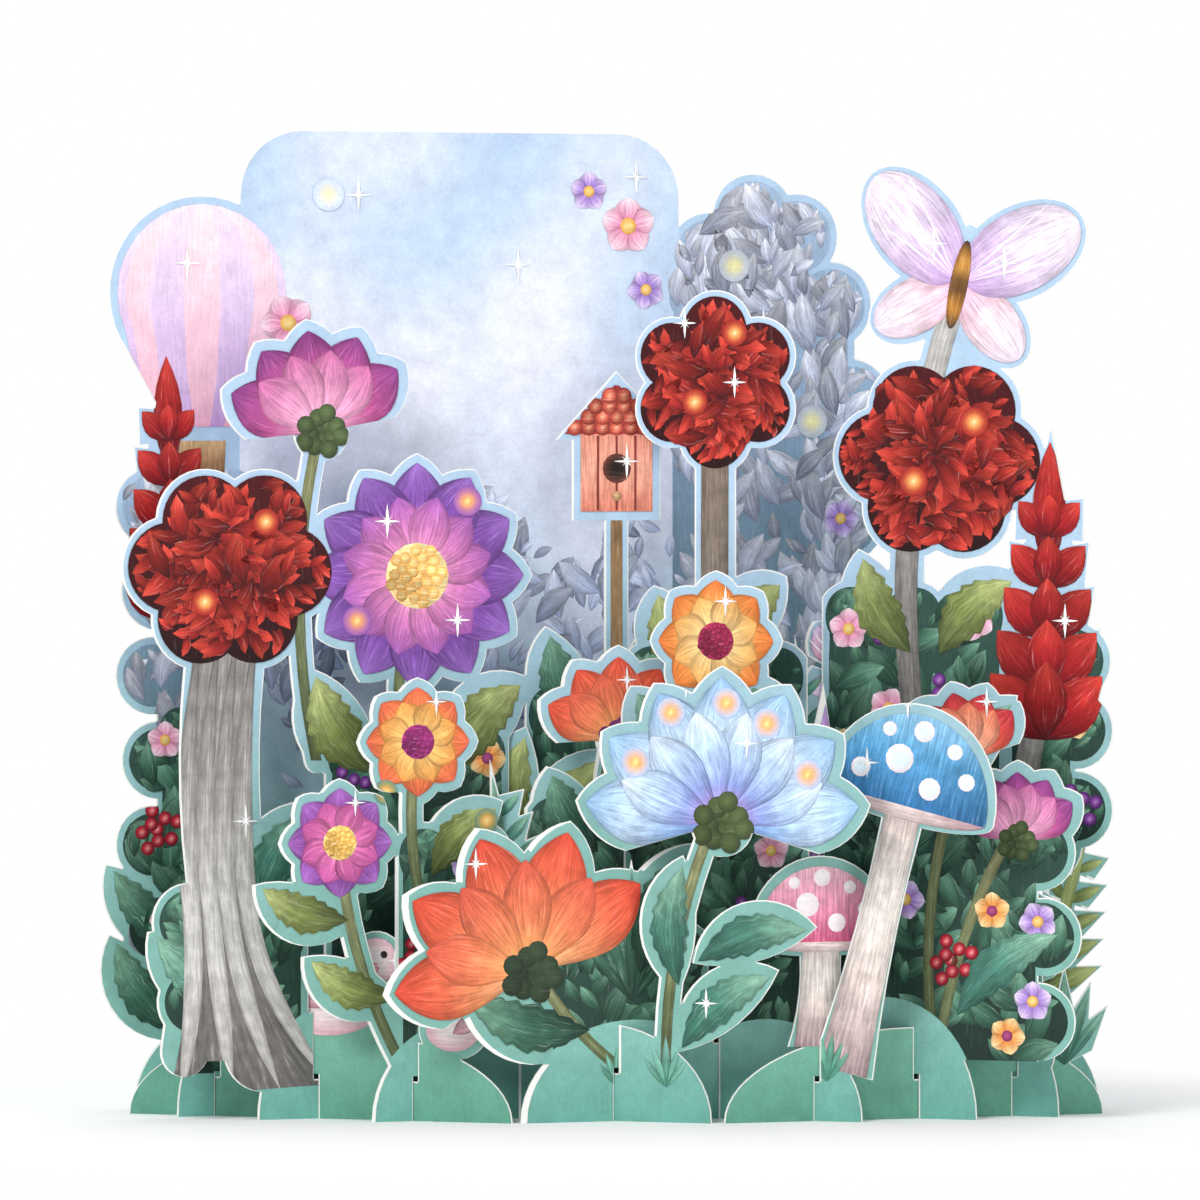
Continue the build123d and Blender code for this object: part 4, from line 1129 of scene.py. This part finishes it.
def clouded_board(left, right, top):
    """Sky of the board: pale blue with soft white and lilac clouds, each a sum of round hills."""
    u, v = lattice(60, 110, low=0.0)
    x = left + (right - left) * u
    y = top * v
    random = np.random.default_rng(23)
    cloud = np.zeros_like(u)
    for across, above, reach in random.uniform(0, 1, (26, 3)):
        spread = 0.010 + 0.02 * reach
        cloud = cloud + np.exp(-((u - across) ** 2 + ((v - 0.3 - 0.7 * above) * 1.6) ** 2) / spread)
    cloud = np.clip(cloud * 0.55, 0, 1)[..., None]
    base = ramp(v, ("6f9f98", "9cc4c6", "bcd6e8", "bed4ec", "b2cae8"))
    lilac = ramp(v, ("e6dcee", "f4f3f8"))
    rgb = base * (1 - 0.75 * cloud) + lilac * 0.75 * cloud
    return [place(painted(x, y, x, y, rgb, press=0.04), layer=1)]


def balloon(column, rise, radius, drop, half, basket_high, stripes):
    """Round envelope with gores in turn of one colour and another, over a basket."""
    reach = radius - 1.6
    base = rise * card_high - drop
    drawn = []
    edges = np.sin(np.linspace(-np.pi / 2, np.pi / 2, 8))
    u, v = lattice(15, 5, low=0.0)
    for number in range(7):
        high = np.sin(np.pi * (u - 0.5))
        side = edges[number] + (edges[number + 1] - edges[number]) * v
        across = side * np.sqrt(np.maximum(1 - high**2, 0.0016)) * reach
        low = high < -0.5
        neck = (half + 1) / reach + (0.866 - half / reach) * (high + 1) * 2
        across = np.where(low, side * neck * reach, across)
        above = np.where(low, high * (drop - 2), high * reach)
        rgb = ramp(u, stripes[number % len(stripes)])
        shape = painted(-across, above, above, across, rgb, press=0.3)
        drawn.append(place(shape, column, rise, layer=4))
    wicker = ("6a4a34", "a8805a", "c8a47a")
    foot = base - basket_high + 1.2
    return drawn + facet(column * pitch, foot, half - 1.2, base - 0.5, half - 0.8, wicker, 5)


autumn = ("4a0c12", "98181f", "cf3f34")
silver = ("8a8fa6", "b4b8c8", "dcdce4")
haze = ("24352f", "3c5550", "64808c", "93abc4", "a4bad4")
far_puffs = [
    (0.95, 0.87), (1.4, 0.91), (1.5, 0.84), (1.85, 0.89), (1.8, 0.82),
    (2.2, 0.82), (2.4, 0.72), (2.35, 0.6), (2.42, 0.48), (2.35, 0.36),
]
board_puffs = [
    (-38.0, 92.0, 16.0, 12.0, 2),
    (-14.0, 86.0, 18.0, 16.0, 2),
    (-24.0, 104.0, 9.0, 9.0, 2),
    (4.0, 98.0, 8.0, 12.0, 2),
    (-60.0, 86.0, 10.0, 14.0, 2),
    (-58.0, 62.0, 9.0, 14.0, 2),
]
gores = (("b98fc8", "e4cdea", "f3e2f2"), ("e8a6bf", "f6cfdc", "fbe8ec"))
side_puffs = [(-4.58 - 0.06 * (number % 2), 0.19 + 0.085 * number) for number in range(6)]
lay_print(
    "sky_sheet",
    clouded_board(-3.78 * pitch, 0.64 * pitch, 0.995 * card_high)
    + [place(mound(-4.4, -2.8, 22.75, far_hill), layer=3)]
    + leaf_heap(board_puffs, 190, haze, ("8f98b4", "b4bcd2", "d6dae8"), 49, 8.0, 1)[1:]
    + bank(0.5, 2.45, 0.0, 0.86, 5, 560, 31, far_puffs, 6.6, silver, haze, 2)
    + bank(0.5, 2.45, 0.0, 0.42, 4, 250, 29, layer=4)
    + balloon(-4.15, 0.83, 17.5, 26, 5.25, 8.5, gores)
    + bank(-4.62, -3.6, 0.16, 0.66, 2, 220, 47, side_puffs, 5.6, silver, haze, 2)
    + bank(-4.62, -3.6, 0.16, 0.42, 2, 110, 45, side_puffs[:3], layer=4)
    + blossoms([(-4.52, 0.38), (-4.5, 0.2)], 3.4, *pink_blossom, layer=6)
    + berries([(-4.6, 0.29)], 1.3, cherry, layer=6)
    + blossoms([(1.0, 0.5), (1.75, 0.44), (2.3, 0.6)], 3.6, *lilac_blossom, layer=6)
    + blossoms([(0.12, 0.9), (-3.3, 0.8)], 5.2, *pink_blossom, layer=6)
    + blossoms([(-0.28, 0.935), (0.3, 0.835), (-3.0, 0.755)], 3.6, *lilac_blossom, layer=6)
    + bank(-4.35, -3.6, 0.04, 0.3, 1, 40, 46, layer=4)
    + leaves([(-4.3, 0.08, 128), (-4.15, 0.17, 140)], 23.8, 11.25, dark_leaf, layer=5)
    + spire(-4.42, 0.5, 92, 50.4, 18.2, 5, autumn, layer=6)
    + glow([1.2, 2.0], [0.86, 0.7], 3.0, ("f9f0b4", "e6dda8", "c6cac6", "b6bccb"))
    + glow([-2.9], [0.93], 3.0, ("fbf3c0", "f2ead0", "dce2ea", "c9dbf1"))
    + sparkle([-2.6, -1.0, 0.2, 1.5, -4.3], [0.93, 0.86, 0.95, 0.8, 0.86], 5.0),
)

# Print of the right back sheet: a bush of dark red leaves, a large pale butterfly, a tall red
# spire and leaves.

right_puffs = [(3.95, 0.29), (4.3, 0.275), (4.6, 0.31), (4.6, 0.39), (4.58, 0.46)]
large_wings = (("c9a6da", "e8d4f0", "f7e8f4"), ("f0b3cd", "f7dce6", "efdff0"))
lay_print(
    "right_back_sheet",
    bank(2.08, 3.92, 0.03, 0.54, 3, 250, 37)
    + bank(3.9, 4.62, 0.28, 0.46, 2, 110, 38, right_puffs)
    + hills((-1.2, 1.6, 27), (0.4, 3.4, 27), (2.6, 4.44, 22.75))
    + blossoms([(2.35, 0.49), (3.6, 0.5), (2.75, 0.41)], 3.8, *pink_blossom)
    + blossoms([(2.3, 0.37), (3.65, 0.4), (4.6, 0.4)], 3.4, *warm_blossom)
    + berries([(2.75, 0.5), (4.6, 0.31), (3.3, 0.42)], 1.3, plum)
    + stems([(4.2, 0.06)], [(4.3, 0.44)], 7.36, ("6e6a68", "9a9692"), layer=5)
    + stems([(3.0, 0.4)], [(3.4, 0.82)], 6.9, ("6e6a68", "9a9692", "c9c6c2"), layer=5)
    + leaves([(3.2, 0.46, 44), (3.0, 0.46, 118)], 22.4, 12.5, olive_leaf, layer=5)
    + spire(4.3, 0.38, 89, 56.7, 21, 5, autumn, layer=6)
    + crown(3.25, 0.66, bush_puffs, 8.0, 270, 41, 6)
    + butterfly(3.45, 0.84, -12, 26, 17, *large_wings, False, layer=8)
    + glow([3.0, 3.6], [0.64, 0.7], 2.7, ember)
    + sparkle([3.2, 3.9, 4.5], [0.88, 0.86, 0.5], 5.0),
)
